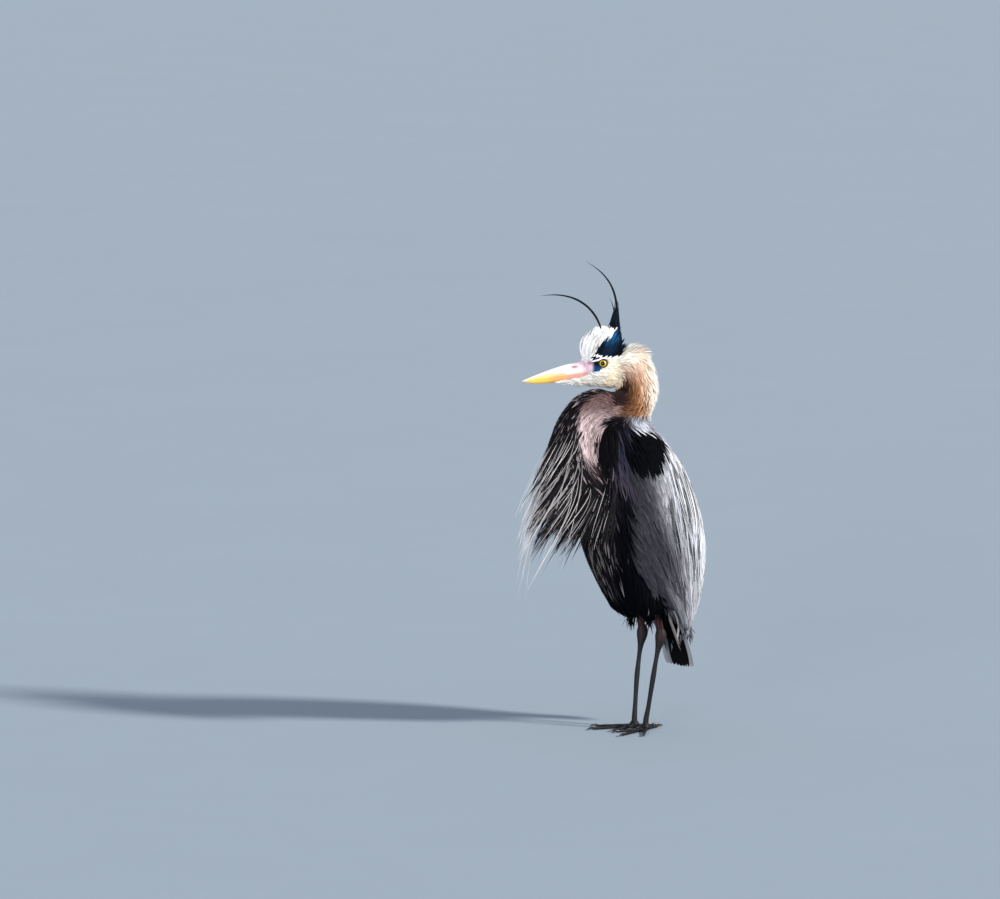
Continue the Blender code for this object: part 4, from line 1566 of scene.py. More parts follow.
def wing_vanes(pelt, palette, rng, side):
    """Flight feathers and their coverts, laid from the bend of the wing to its tip."""
    vanes = Feathers(LONG_STEPS, "lance")
    for count, first, last, lengths, half, lift in WING_ROWS:
        for k in range(count):
            t = (k + rng.uniform(-0.3, 0.3)) / (count - 1)
            y, z = (a + (b - a) * t for a, b in zip(first, last))
            start, face, root = on_skin(pelt, at(side * 120, y, z + rng.normal(0, 9)))
            size = (lengths[0] + (lengths[1] - lengths[0]) * t) * rng.uniform(0.86, 1.08)
            lift_here = lift * rng.uniform(0.8, 1.3)
            turn = math.radians(rng.normal(0, 2.5))
            shaft, ups = within_wing(pelt, start, face, size, lift_here, 0.3, turn)
            colours = plume_colours(palette, shaft, 0.3, rng)
            vanes.add(shaft, ups, half * rng.uniform(0.8, 1.15), 0.9, colours, root)
    return [vanes]


class HERON_OT_wings(bpy.types.Operator):
    """Lay the long feathers of the folded wings"""

    bl_idname = "heron.wings"
    bl_label = "Wing feathers"

    def execute(self, context):
        look = ("Vane feather", "plumage_grey")
        for number, (side, word) in enumerate(SIDES):
            draws = WING_DRAWS + number
            add_feathers("wing_feathers_" + word, wing_vanes, draws, *look, of=(side,))
        return {"FINISHED"}


MANTLE_PLUMES = 190
# Where the mantle's plumes root, as ranges of y and z, and the lowest that one may start
MANTLE_Y, MANTLE_Z = (-25, 128), (395, 618)
MANTLE_LOWEST = 380


def mantle_plumes(pelt, palette, rng, side):
    """Long thin plumes that hang from the back over one wing."""
    plumes = Feathers(LONG_STEPS, "lance")
    for _ in range(MANTLE_PLUMES):
        y, z = rng.uniform(*MANTLE_Y), rng.uniform(*MANTLE_Z)
        height = z - MANTLE_Z[0]
        if y < MANTLE_Y[0] + height * 0.12:
            continue
        start, face, root = on_skin(pelt, at(side * 125, y, z))
        if bird_of(np.array(start))[2] < MANTLE_LOWEST:
            continue
        size = rng.uniform(90, 170) * (0.75 + 0.35 * height / 220)
        lift, settle = rng.uniform(3, 7), rng.uniform(0, 1.2)
        turn = math.radians(rng.normal(0, 5))
        shaft, ups = within_wing(pelt, start, face, size, lift, settle, turn)
        colours = plume_colours(palette, shaft, 0.42, rng)
        plumes.add(shaft, ups, rng.uniform(1.2, 2.2), 0.7, colours, root)
    return [plumes]


class HERON_OT_mantle(bpy.types.Operator):
    """Hang the long thin plumes of the back over the wings"""

    bl_idname = "heron.mantle"
    bl_label = "Mantle plumes"

    def execute(self, context):
        look = ("Silky plume", "plumage_grey")
        for number, (side, word) in enumerate(SIDES):
            draws = MANTLE_DRAWS + number
            add_feathers("mantle_plumes_" + word, mantle_plumes, draws, *look, of=(side,))
        return {"FINISHED"}


# How far forward, to the right and down the breast's plumes may reach
PLUME_FRONT, PLUME_RIGHT, PLUME_LOWEST = -281, -95, 288
BREAST_KINDS = (
    # count, lowest and highest root, length, half width, dark share, how pale
    (520, (448, 640), (55, 130), (1.3, 2.2), 1.0, 0.0),
    (130, (520, 630), (110, 300), (0.42, 0.8), 0.0, 1.0),
    (70, (466, 560), (50, 115), (0.4, 0.65), 0.0, 0.9),
    (110, (470, 620), (80, 170), (0.7, 1.1), 0.85, 0.3),
)


def breast_roots(pelt, rng, count, low, high):
    """Faces of the skin over the breast and the front of the neck's loop, picked at random."""
    faces = pelt.where[pelt.tris].mean(axis=1)
    normals = np.array(pelt.tri_normal)
    outer = outward(faces, normals)
    along = quarter_view(faces)[0]
    here = (faces[:, 2] > low) & (faces[:, 2] < high) & (faces[:, 1] < -78) & (outer > -0.2)
    here &= ((along < -112) | (faces[:, 2] < 560)) & (along < -46)
    weight = np.where(here, pelt.area, 0)
    return rng.choice(len(weight), count, p=weight / weight.sum())


def breast_shaft(pelt, face, size, drift, steps):
    """A plume that leaves the breast along its lie and is then blown forwards and across."""
    start = Vector(pelt.points[pelt.tris[face]].mean(axis=0))
    where = bird_of(np.array(start))
    way, normal = pelt.tri_way[face], pelt.tri_normal[face]
    along = quarter_view(where)[0]
    wind = float(np.interp(along, (-150, -105, -60), (1.0, 0.72, 0.12)))
    across = wind * (-0.2 - 0.15 * max(-1, min(1, (where[0] + 10) / 45)))
    ahead = -0.1 - 0.52 * wind * (1 - 0.5 * float(soft(size, 130, 280)))
    blown = (Vector((across, ahead, -1)) + drift).normalized()
    lowest = float(np.interp(along, (-122, -92), (PLUME_LOWEST, PLUME_LOWEST + 95)))
    for _ in range(9):
        end = start + blown * size * MM
        far = bird_of(np.array(end))
        if far[1] > PLUME_FRONT and far[2] > lowest and far[0] > PLUME_RIGHT:
            break
        size *= 0.88
    size *= MM
    b = start + (way * 0.24 + normal * 0.07) * size
    c = start + blown * 0.66 * size + normal * 0.03 * size
    return curve((start, b, c, end), steps), normal


def breast_plumes(pelt, palette, rng):
    """Every kind of plume on the breast, from the dark short ones to the long pale ones."""
    batches = []
    for count, (low, high), (shortest, longest), halves, dark, pale in BREAST_KINDS:
        batch = Feathers(LONG_STEPS if longest > 150 else 7, "lance")
        for face in breast_roots(pelt, rng, count, low, high):
            drift = Vector(rng.normal(0, (0.05, 0.06, 0.03)))
            size = shortest + (longest - shortest) * rng.uniform() ** 1.5
            shaft, facing = breast_shaft(pelt, face, size, drift, batch.steps)
            shade = rng.uniform(0.7, 1)
            colour = mixed(palette.streak, palette.plume, pale * shade)
            colour = mixed(colour, palette.throat_dark, dark * (0.4 + 0.6 * shade))
            colours = (colour * 0.6, colour, colour)
            batch.add(shaft, facing, rng.uniform(*halves), 0.5, colours, pelt.mark(face))
        batches.append(batch)
    return batches


class HERON_OT_breast(bpy.types.Operator):
    """Hang the long pale plumes of the breast over their dark bases"""

    bl_idname = "heron.breast"
    bl_label = "Breast plumes"

    def execute(self, context):
        look = ("Silky plume", "plumage_buff", "breast_plumes")
        add_feathers("plumes_of_breast", breast_plumes, BREAST_DRAWS, *look)
        return {"FINISHED"}


# Long plumes of the crest: four places in the head's own measure, and the half width
CREST_PLUMES = (
    (((0, 3, 48), (8, 4, 112), (58, 5, 150), (132, 6, 135)), 2.3),
    (((-21, -2, 34), (-42, -3, 138), (-16, -3, 178), (38, -4, 207)), 2.4),
    (((-21, 3, 50), (-27, 5, 100), (-20, 7, 120), (-11, 8, 134)), 1.5),
)
# How many feathers gather into the crest's point, and stand on the crown's sides and top
GATHERED, CROWN_SIDES, CROWN_TOP = 230, 330, 560
# How the crown's top leans forward or back along its length
CROWN_LEAN = ((-12, 10, 26, 38, 50), (-0.56, -0.46, -0.30, -0.18, -0.10))
CHIN_FEATHERS = 520


def head_faces(pelt, rng, count, wanted):
    """Faces of the head's skin picked at random among those that are wanted, and their middles."""
    middles = pelt.head[pelt.tris].mean(axis=1)
    here = wanted(middles) & (pelt.region[pelt.tris[:, 0]] == 0)
    weight = np.where(here, pelt.area, 0)
    faces = rng.choice(len(weight), count, p=weight / weight.sum())
    return zip(faces, middles[faces])


def bowed(start, run, swell, along, aside, steps):
    """A shaft on the head that goes by three shares along its run and aside by its swell."""
    places = [start + run * a + swell * b for a, b in zip(along, aside)]
    return head_curve([start, *places], steps)


def long_crest(pelt, colours):
    """Long plumes of the crest."""
    plumes = Feathers(22, "lance")
    for path, half in CREST_PLUMES:
        shaft = head_curve(path, plumes.steps)
        plumes.add(shaft, HEAD_OUT, half, 1.8, colours, on_skin(pelt, shaft[0])[2])
    return plumes


def gathered_crest(pelt, colours, rng):
    """Slender feathers that gather behind the crown into the crest's point."""
    slender = Feathers(9, "lance")

    def wanted(head):
        return (crown_black(head) > 0.4) & (head[:, 0] < -2) & (head[:, 2] > 30)

    for face, start in head_faces(pelt, rng, GATHERED, wanted):
        forward, out, up = start
        rise = rng.uniform(0, 1) ** 1.3
        goal = np.array([-23 - 5 * rise, -1, 74 + 52 * rise])
        goal += np.array([(forward + 22) * 0.42, out * 0.4, 0]) * (1 - rise) ** 0.8
        goal += rng.normal(0, (1.3, 1.2, 1.5))
        b = start + np.array([0.05 * (forward + 24), 0.1 * out, 0.45 * (goal[2] - up)])
        c = goal - np.array([0.5, 0, 0.35 * (goal[2] - up)])
        shaft = head_curve((start, b, c, goal), slender.steps)
        slender.add(shaft, HEAD_OUT, rng.uniform(1.0, 1.7), 0.7, colours, pelt.mark(face))
    return slender


def crown_sides(pelt, palette, rng):
    """Glossy black feathers that rise along both sides of the crown."""
    sides = Feathers(6, "lance")
    for face, start in head_faces(pelt, rng, CROWN_SIDES, lambda head: crown_black(head) > 0.5):
        forward, out, up = start
        size = rng.uniform(15, 30)
        size = min(size, (73 - up) * 1.1)
        lean = -0.62 * soft(forward, -44, -14)
        size = min(size, (forward + 40 - 0.2 * (up - 17)) / max(0.1, -lean) + 4)
        if size < 6:
            continue
        heading = np.array([lean, 0.002 * out, 1.0]) + rng.normal(0, (0.04, 0.06, 0.05))
        swell = np.array([0, math.copysign(1, out), 0.2]) * size
        aside = (0.12, 0.12, 0.04)
        shaft = bowed(start, heading * size, swell, (0.3, 0.65, 0.95), aside, sides.steps)
        # Blue on the crown's sides: a tint, with a painted sheen where the bump peaks
        tint_and_sheen = 0.16 + 0.9 * bump(up + 10, 42, 15) * bump(forward, -7, 15)
        colour = mixed(palette.black, palette.blue_tint_and_sheen, min(1, tint_and_sheen * rng.uniform(0.8, 1.1)))
        colours = (colour * 0.7, colour, colour)
        normal = pelt.tri_normal[face]
        sides.add(shaft, normal, rng.uniform(1.3, 2.0), 0.5, colours, pelt.mark(face))
    return sides


def crest_feathers(pelt, palette, rng):
    """The whole crest: long plumes, the point they rise from and the crown's sides."""
    black = palette.black
    # The edges of the crest's feathers turn blue as a painted sheen
    colours = (black * 0.9, black, mixed(black, palette.blue_tint_and_sheen, 0.5))
    batches = [long_crest(pelt, colours), gathered_crest(pelt, colours, rng)]
    return [*batches, crown_sides(pelt, palette, rng)]


def crown_top(pelt, palette, rng):
    """White feathers that stand up from the forehead and along the middle of the crown."""
    tuft = Feathers(7, "contour")

    def wanted(head):
        forward, out, up = head.T
        front = 21 - (up - 18) * 0.8 - 14 * (np.abs(out) < 7)
        return (forward > front) & (forward > -14) & (up > 5)

    for face, start in head_faces(pelt, rng, CROWN_TOP, wanted):
        forward, out, up = start
        lean = float(np.interp(forward, *CROWN_LEAN))
        heading = np.array([lean, 0.006 * out, 1.0]) + rng.normal(0, 0.05, 3)
        normal = pelt.tri_normal[face]
        size = rng.uniform(22, 38) * (1 + 0.25 * soft(forward, 20, 40))
        height = 75 - 0.08 * abs(forward) - 0.25 * abs(out)
        size = min(size, (height - up) * rng.uniform(0.84, 1.04))
        if size < 9:
            continue
        swell = head_of(np.array(EYES) + np.array(normal) * MM) * np.array([1, 0.6, 1]) * size
        puff = float(np.interp(forward, (10, 40), (0.14, 0.26)))
        aside = (puff, puff - 0.02, 0)
        shaft = bowed(start, heading * size, swell, (0.32, 0.7, 1), aside, tuft.steps)
        colour = mixed(palette.white, palette.cream, 0.25 * rng.uniform())
        colours = (colour * 0.96, colour, colour)
        tuft.add(shaft, normal, rng.uniform(2.0, 3.1), 0.5, colours, pelt.mark(face))
    return [tuft]


def chin_beard(pelt, palette, rng):
    """Short feathers that run back from the underside of the bill over the chin."""
    beard = Feathers(5, "hair")
    for _ in range(CHIN_FEATHERS):
        forward = 99 - 72 * rng.uniform() ** 0.85
        _, _, under, half = bill_lines(forward)
        top = np.interp(forward, (30, 60, 99), (-24.5, -32, under + 1))
        turn = rng.uniform(0, 1) * (1 if rng.uniform() < 0.5 else -1)
        up = under + 0.6 + (max(top, under + 0.6) - under - 0.6) * abs(turn) ** 1.6
        out = half * math.copysign(min(1, abs(turn) ** 0.55), turn) * 0.97
        hang = 0.10 + 0.56 * soft(100 - forward, 0, 34) * (1 - 0.6 * abs(turn))
        size = rng.uniform(10, 17) * float(np.interp(forward, (60, 99), (1.0, 0.62)))
        heading = np.array([-1.0, 0.1 * turn, -hang]) + rng.normal(0, 0.07, 3)
        swell = np.array([0, turn, -(1 - abs(turn))]) * 1.4
        start = np.array([forward, out, up])
        shaft = bowed(start, heading * size, swell, (0.3, 0.7, 1), (1, 1.3, 0.9), beard.steps)
        facing = (HEAD_OUT * turn - HEAD_UP * (1.05 - abs(turn))).normalized()
        colour = mixed(palette.white, palette.cream, rng.uniform())
        colours = (colour * 0.95, colour, colour)
        mark = on_skin(pelt, head_at(min(forward, 60), out * 1.6, up - 2))[2]
        beard.add(shaft, facing, rng.uniform(0.9, 1.4), 0.4, colours, mark)
    return [beard]


class HERON_OT_crown(bpy.types.Operator):
    """Raise the white feathers of the forehead and the crown"""

    bl_idname = "heron.crown"
    bl_label = "Crown"

    def execute(self, context):
        add_feathers("crown_feathers", crown_top, CROWN_DRAWS, "Down", "plumage_white")
        return {"FINISHED"}


class HERON_OT_chin(bpy.types.Operator):
    """Feather the chin forward under the bill"""

    bl_idname = "heron.chin"
    bl_label = "Chin"

    def execute(self, context):
        add_feathers("chin_feathers", chin_beard, CHIN_DRAWS, "Down", "plumage_white")
        return {"FINISHED"}


class HERON_OT_crest(bpy.types.Operator):
    """Raise the crest and its long black plumes"""

    bl_idname = "heron.crest"
    bl_label = "Crest"

    def execute(self, context):
        nodes = ("crest_plume_front", "crest_plumes_rear")
        look = ("Glossy black feather", "plumage_black", *nodes)
        add_feathers("crest", crest_feathers, CREST_DRAWS, *look)
        return {"FINISHED"}


TAIL_VANES, TAIL_COVERTS = 10, 70
# Past this share of the tail's half width its feathers are pale
PALE_OUTER = 0.7
COVERT_FACING = Vector((0, -1, -0.2))


def tail_vanes(pelt, palette, rng):
    """The tail's long feathers, fanned from side to side."""
    vanes = Feathers(14, "vane")
    steps = vanes.steps
    for k in range(TAIL_VANES):
        t = k / (TAIL_VANES - 1) * 2 - 1
        rise = 5 * (1 - abs(t))
        path = (
            at(14 * t, 46 + rise, 300),
            at(26 * t, 76 + rise, 236),
            at(35 * t, 99 + rise, 178),
            at(39 * t, 111 + rise * 1.4, 118 + 4 * abs(t)),
        )
        shaft = [bezier(path, 1 - (1 - i / steps) ** 1.6) for i in range(steps + 1)]
        facing = Vector((0.5 * t, 0.93, 0.3)).normalized()
        colour = palette.tail * rng.uniform(0.9, 1.1)
        if abs(t) > PALE_OUTER:
            colour = mixed(palette.tail, palette.silver_and_painted_light, 0.65)
        colours = (colour * 0.8, colour, mixed(colour, palette.silver_and_painted_light, 0.06))
        vanes.add(shaft, facing, 9.5, 0.9, colours, on_skin(pelt, path[0])[2])
    return vanes


def tail_coverts(pelt, palette, rng):
    """Shorter feathers under the tail: black in the middle and pale at the sides."""
    under = Feathers(10, "lance")
    for _ in range(TAIL_COVERTS):
        t = rng.uniform(-1, 1)
        fall = rng.uniform(0, 1)
        start = at(22 * t, 40 + 16 * fall, 282 - 40 * fall)
        end = at(31 * t, 62 + 30 * fall, 232 - 84 * fall + rng.normal(0, 5))
        run = end - start
        b, c = start + run * 0.35 - Vector((0, 3, 0)) * MM, start + run * 0.7
        shaft = curve((start, b, c, end), under.steps)
        colour = palette.black if abs(t) < 0.72 else palette.streak
        half = rng.uniform(3, 5)
        under.add(shaft, COVERT_FACING, half, 0.7, (colour,) * 3, on_skin(pelt, start)[2])
    return under


def tail_feathers(pelt, palette, rng):
    return [tail_vanes(pelt, palette, rng), tail_coverts(pelt, palette, rng)]


class HERON_OT_tail(bpy.types.Operator):
    """Fan the short tail under the wing tips"""

    bl_idname = "heron.tail"
    bl_label = "Tail"

    def execute(self, context):
        look = ("Vane feather", "plumage_grey", "tail")
        add_feathers("tail_feathers", tail_feathers, TAIL_DRAWS, *look)
        return {"FINISHED"}


# The bill from its base to its tip, in the head's own measure
BILL_START, BILL_BASE, BILL_END = 25, 38, 167
BILL_HALF_WIDTH = 11
BILL_RIDGE, BILL_MOUTH, BILL_UNDER, BILL_TIP = 3, -21, -36.5, -38.8
RIDGE_DROOP = 1.4
KEEL_DEPTH, KEEL_PLACE = 5.5, 1.9
# Half the gap between the two halves of the bill
MOUTH_GAP = 0.15
BILL_RINGS, BILL_SIDES = 64, 28


def mouth_line(forward):
    return BILL_MOUTH + (BILL_TIP - BILL_MOUTH) * (forward - BILL_BASE) / (BILL_END - BILL_BASE)


def bill_lines(forward):
    """Ridge, mouth line and underside of the bill at this distance forward, and half width."""
    t = (forward - BILL_BASE) / (BILL_END - BILL_BASE)
    held = min(max(t, 0), 1)
    ridge = BILL_RIDGE + (BILL_TIP - BILL_RIDGE) * held**RIDGE_DROOP
    mouth = mouth_line(forward)
    keel = KEEL_DEPTH * math.sin(math.pi * held**KEEL_PLACE)
    under = BILL_UNDER + (BILL_TIP - BILL_UNDER) * held - keel
    half = BILL_HALF_WIDTH * min(max(1 - t, 0), 1.04) ** 0.75 + 0.5
    return ridge, mouth, min(under, mouth - 0.4), half


def bill_ring(forward, upper):
    """A ring round one half of the bill, flat along the mouth."""
    ridge, mouth, under, half = bill_lines(forward)
    near, far = (mouth + MOUTH_GAP, ridge) if upper else (mouth - MOUTH_GAP, under)
    points = []
    for k in range(BILL_SIDES):
        a = 2 * math.pi * k / BILL_SIDES
        if math.sin(a) >= 0:
            out = half * math.copysign(abs(math.cos(a)) ** 0.85, math.cos(a))
            up = near + (far - near) * math.sin(a) ** 0.9
        else:
            out = half * 0.985 * math.cos(a)
            up = near
        if upper:
            slit = bump(forward, 56, 9) * bump(up, -8.5, 1.5)
            groove = bump(up, -9 - 0.14 * (forward - 50), 2.2) * soft(forward, 44, 56)
            groove *= soft(118 - forward, 0, 40)
            out *= 1 - min(0.5, 0.26 * slit + 0.06 * groove)
        points.append(head_at(forward, out, up))
    return points


def bill_colours(palette, head, upper):
    """Colours of one half of the bill: bright along the mouth and pale at the ridge."""
    forward, _, up = head.T
    bright = mixed(palette.bill_orange, palette.bill_yellow, soft(forward, 92, 122))
    if not upper:
        tip = 0.6 * soft(forward, 150, 165)
        return layered(
            palette.bill_peach, (bright, soft(forward, 58, 84)), (palette.bill_pale, tip)
        )
    mouth = mouth_line(forward)
    band = np.interp(forward, (60, 80, 110, 140, 167), (0.5, 7, 9, 5, 1.0))
    orange = soft(mouth + band - up, -1.5, 2.0) * soft(forward, 62, 84)
    gape = soft(mouth + 5 - up, -1, 2) * soft(86 - forward, 0, 20)
    slit = bump(forward, 56, 8.5) * bump(up, -8.5, 1.1)
    root = soft(42 - forward, 0, 7) * bump(up, 0, 5)
    return layered(
        palette.bill_pink,
        (palette.bill_pale, soft(forward, 48, 84)),
        (bright, orange * (1 - 0.8 * soft(forward, 145, 162))),
        (palette.bill_peach, 0.75 * gape),
        (palette.nostril, np.clip(slit * 1.4, 0, 1)),
        (palette.gape * 0.6, 0.8 * root),
    )


def bill_half(name, upper, palette):
    """One half of the bill, lofted along its length, with its colours."""
    bm = bmesh.new()
    # rings stand closer towards the tip
    shares = 1 - (1 - np.linspace(0, 1, BILL_RINGS)) ** 1.15
    lofted(bm, [bill_ring(BILL_START + (BILL_END - BILL_START) * t, upper) for t in shares])
    mesh = mesh_of(name, bm, EDGE_ANGLE)
    paint(mesh, bill_colours(palette, head_of(vertex_points(mesh)), upper))
    return mesh


class HERON_OT_bill(bpy.types.Operator):
    """Make both halves of the bill"""

    bl_idname = "heron.bill"
    bl_label = "Bill"

    def execute(self, context):
        palette = Palette()
        material = horn_material("Bill horn", 0.38, 0.25, 0.22)
        for upper, node in ((True, "bill_upper"), (False, "bill_lower")):
            mesh = bill_half(node + "_horn", upper, palette)
            add_piece(node + "_horn", mesh, material, "bill", node)
        return {"FINISHED"}


EYE_RADIUS = 9
# Degrees from the middle of the eye to the edges of its pupil and iris
PUPIL_ANGLE, IRIS_ANGLE = 29, 55
RIM_RADIUS, RIM_THICKNESS, RIM_FORWARD = 8.3, 1.35, 4.2
# How far the upper lid comes down over the eye
UPPER_LID = 1.7


def eye_place(word, side):
    """The eye's middle and its gaze, as a matrix whose z looks out of the head."""
    way = (HEAD_OUT * side + HEAD_FORWARD * 0.12).normalized()
    turn = way.to_track_quat("Z", "Y").to_matrix().to_4x4()
    return Matrix.Translation(middle("eye_" + word)) @ turn


def eyeball(name, place, palette):
    """The ball with its cornea raised, and its pupil and iris in rings."""
    bm = bmesh.new()
    bmesh.ops.create_uvsphere(bm, u_segments=64, v_segments=48, radius=EYE_RADIUS * MM)
    for vert in bm.verts:
        height = vert.co.z / (EYE_RADIUS * MM)
        vert.co.z += 0.9 * MM * float(soft(height, 0.82, 1.0))
    bmesh.ops.transform(bm, verts=bm.verts, matrix=place)
    mesh = mesh_of(name, bm)
    offset = (vertex_points(mesh) - np.array(place.translation)) @ np.array(place.to_3x3())
    from_middle = np.degrees(np.arctan2(np.hypot(offset[:, 0], offset[:, 1]), offset[:, 2]))
    colours = layered(
        palette.pupil,
        (palette.iris, soft(from_middle, PUPIL_ANGLE - 1, PUPIL_ANGLE + 2)),
        (palette.iris_rim, 0.85 * soft(from_middle, 42, 50)),
        (palette.lid, soft(from_middle, IRIS_ANGLE - 4, IRIS_ANGLE)),
    )
    paint(mesh, colours)
    return mesh


def eye_rim(name, place, palette):
    """A thin rim round the eye, drawn down at the top as the upper lid."""
    radius = RIM_RADIUS * MM
    bm = bmesh.new()
    bmesh.ops.create_circle(bm, segments=14, radius=RIM_THICKNESS * MM)
    bmesh.ops.rotate(bm, verts=bm.verts, matrix=Matrix.Rotation(math.pi / 2, 3, "X"))
    bmesh.ops.translate(bm, verts=bm.verts, vec=(radius, 0, RIM_FORWARD * MM))
    geometry = bm.verts[:] + bm.edges[:]
    whole = {"angle": 2 * math.pi, "steps": 64, "use_merge": True}
    bmesh.ops.spin(bm, geom=geometry, cent=(0, 0, 0), axis=(0, 0, 1), **whole)
    bmesh.ops.remove_doubles(bm, verts=bm.verts, dist=0.01 * MM)
    for vert in bm.verts:
        lid = UPPER_LID * max(vert.co.y / radius, 0) ** 2 * MM
        vert.co.y -= lid
        vert.co.z += 1.35 * lid
    bmesh.ops.transform(bm, verts=bm.verts, matrix=place)
    return painted(mesh_of(name, bm), palette.lid)


class HERON_OT_eyes(bpy.types.Operator):
    """Make the eyes and their lids"""

    bl_idname = "heron.eyes"
    bl_label = "Eyes"

    def execute(self, context):
        palette = Palette()
        wet = eye_material()
        horn = horn_material("Eye rim", 0.55, 0.1, 0.4)
        for side, word in SIDES:
            ball, rim = "eyeball_" + word, "eye_rim_" + word
            place = eye_place(word, side)
            add_piece(ball, eyeball(ball, place, palette), wet, "eye", "eye_" + word)
            add_piece(rim, eye_rim(rim, place, palette), horn, "leg_skin")
        return {"FINISHED"}


# Rows of a left leg: x, y, z and half width
SHANK = ((33, 2, 318, 8), (33, 6, 300, 8), (33, 19, 245, 7.2), (33, 30, 203, 8.2))
TARSUS = (
    (33, 30, 206, 9.2),
    (33, 31, 198, 11.8),
    (33, 30, 188, 11.4),
    (32, 26, 172, 7.2),
    (29, 13, 105, 5.6),
    (25, 5, 50, 4.9),
    (22, 0, 14, 6.2),
    (22, 0, 7, 6.4),
)
FOOT = (22, 0, 7.5)
FOOT_RADII = (9.5, 10.5, 8.5)
# How far one foot stands ahead of the footing and the other behind it
LEG_STEP = 4
# Size of the cells that join a leg
LEG_CELL = 1.15
# Scales lie round the toes below the one height, and up the tarsus to the other
TOE_TOP, SCALES_TOP = 11, 196
TOES = {
    # angle from straight ahead, length and half width, and the claw's length
    "middle": (-18, 92, 5.2, 15),
    "inner": (10, 68, 4.8, 13),
    "outer": (-46, 80, 4.8, 12),
    "hind": (164, 44, 4.8, 20),
}


def leg_place(side, x, y, z):
    return at(side * x, y - side * LEG_STEP, z)


def toe_way(side, degrees):
    a = math.radians(degrees)
    return Vector((-side * math.sin(a), -math.cos(a), 0))


def add_tube(bm, rows, sides, across=(1, 0, 0)):
    lofted(bm, tube_rings(rows, sides, across))


def add_toe(bm, side, toe_angle, reach, half):
    """One toe, swollen at its joints and resting on the floor."""
    way = toe_way(side, toe_angle)
    start = leg_place(side, FOOT[0], FOOT[1], 0)
    rows = []
    for t in np.linspace(0, 1, 33):
        joint = 0.55 * abs(math.sin(math.pi * t * 3.5)) ** 0.6
        wide = half * (1 - 0.42 * t) - 0.7 + joint
        centre = start + way * (reach * t) * MM
        centre.z = max(half * (1 - 0.4 * t), wide * 0.92) * MM
        rows.append((*centre, wide * MM, wide * 0.9 * MM))
    add_tube(bm, rows, 16, way.cross(HEAD_UP))


def scaled(bm, side):
    """Raises broad overlapping scales down the front of the tarsus and over the toes."""
    bm.normal_update()
    for vert in bm.verts:
        x, y, z = bird_of(np.array(vert.co))
        if z < TOE_TOP:
            reach = math.hypot(x - side * FOOT[0], y + side * LEG_STEP)
            fore = max(vert.normal.z, 0) * (reach > 9)
            wave = reach / 4.0
        else:
            fore = max(-vert.normal.y * 0.95 + 0.1, 0) * (z < SCALES_TOP)
            wave = z / 5.2
        vert.co += vert.normal * fore * (0.42 * (wave % 1.0) ** 2 - 0.12) * MM


def leg_mesh(side, name, palette):
    """Shank, ankle, tarsus, foot and toes as one scaled skin."""
    bm = bmesh.new()
    for rows, count in ((SHANK, 30), (TARSUS, 60)):
        path = smooth_line(rows, count)
        rings = [(*leg_place(side, *row[:3]), row[3] * 0.94 * MM, row[3] * MM) for row in path]
        add_tube(bm, rings, 20)
    add_ball(bm, leg_place(side, *FOOT), FOOT_RADII, 20, 14)
    for toe_angle, reach, half, _ in TOES.values():
        add_toe(bm, side, toe_angle, reach, half)
    bmesh.ops.recalc_face_normals(bm, faces=bm.faces)
    bm = joined_by_cells(bm, LEG_CELL * MM)
    smoothed(bm, 3)
    scaled(bm, side)
    smoothed(bm, 1, 0.25)
    for vert in bm.verts:
        vert.co.z = max(vert.co.z, 0.1 * MM)
    mesh = mesh_of(name, bm)
    z = bird_of(vertex_points(mesh))[:, 2]
    ankle, shank = soft(z, 168, 192) * 0.9, soft(z, 202, 226)
    paint(mesh, layered(palette.tarsus, (palette.ankle, ankle), (palette.shank, shank)))
    return mesh


def claw_mesh(name, side, toe_angle, reach, claw, palette):
    """One curved claw that grows out of the end of its toe."""
    way = toe_way(side, toe_angle)
    start = leg_place(side, FOOT[0], FOOT[1], 0) + way * (reach - 3) * MM
    rows = []
    for t in np.linspace(0, 1, 15):
        centre = start + way * (claw + 3) * t * MM
        centre.z = (3.6 + 1.5 * math.sin(math.pi * t) - 2.2 * t * t) * MM
        wide = 2.5 * (1 - t) ** 0.8 + 0.35
        rows.append((*centre, wide * MM, wide * 1.1 * MM))
    bm = bmesh.new()
    add_tube(bm, rows, 14, way.cross(HEAD_UP))
    return painted(mesh_of(name, bm), palette.claw)


class HERON_OT_legs(bpy.types.Operator):
    """Make the scaled legs, feet and toes"""

    bl_idname = "heron.legs"
    bl_label = "Legs"

    def execute(self, context):
        palette = Palette()
        material = leg_material(palette)
        for side, word in SIDES:
            nodes = [part + "_" + word for part in ("shank", "tarsus", "foot")]
            nodes += [f"toe_{toe}_{word}" for toe in TOES]
            mesh = leg_mesh(side, "leg_" + word, palette)
            add_piece("leg_" + word, mesh, material, "leg_skin", *nodes)
        return {"FINISHED"}


class HERON_OT_claws(bpy.types.Operator):
    """Make the curved claws"""

    bl_idname = "heron.claws"
    bl_label = "Claws"

    def execute(self, context):
        palette = Palette()
        material = horn_material("Claw horn", 0.35, 0.3, 0.3)
        for side, word in SIDES:
            for toe, (toe_angle, reach, _, claw) in TOES.items():
                name = f"nail_{toe}_{word}"
                mesh = claw_mesh(name, side, toe_angle, reach, claw, palette)
                add_piece(name, mesh, material, "claw", f"claw_{toe}_{word}")
        return {"FINISHED"}


# Middle of the view from the footing, in millimetres to the camera's right and up
VIEW_RIGHT, VIEW_UP = -287, 573
VIEW_SCALE = 2.05
SENSOR = 36.0
FLOOR_RADIUS = 160
KEY_COLOUR = (1.0, 0.95, 0.88)
FILL_COLOUR = (0.76, 0.86, 1.0, 1.0)


def put_in_scene(name, data):
    obj = bpy.data.objects.new(name, data)
    bpy.context.scene.collection.objects.link(obj)
    return obj


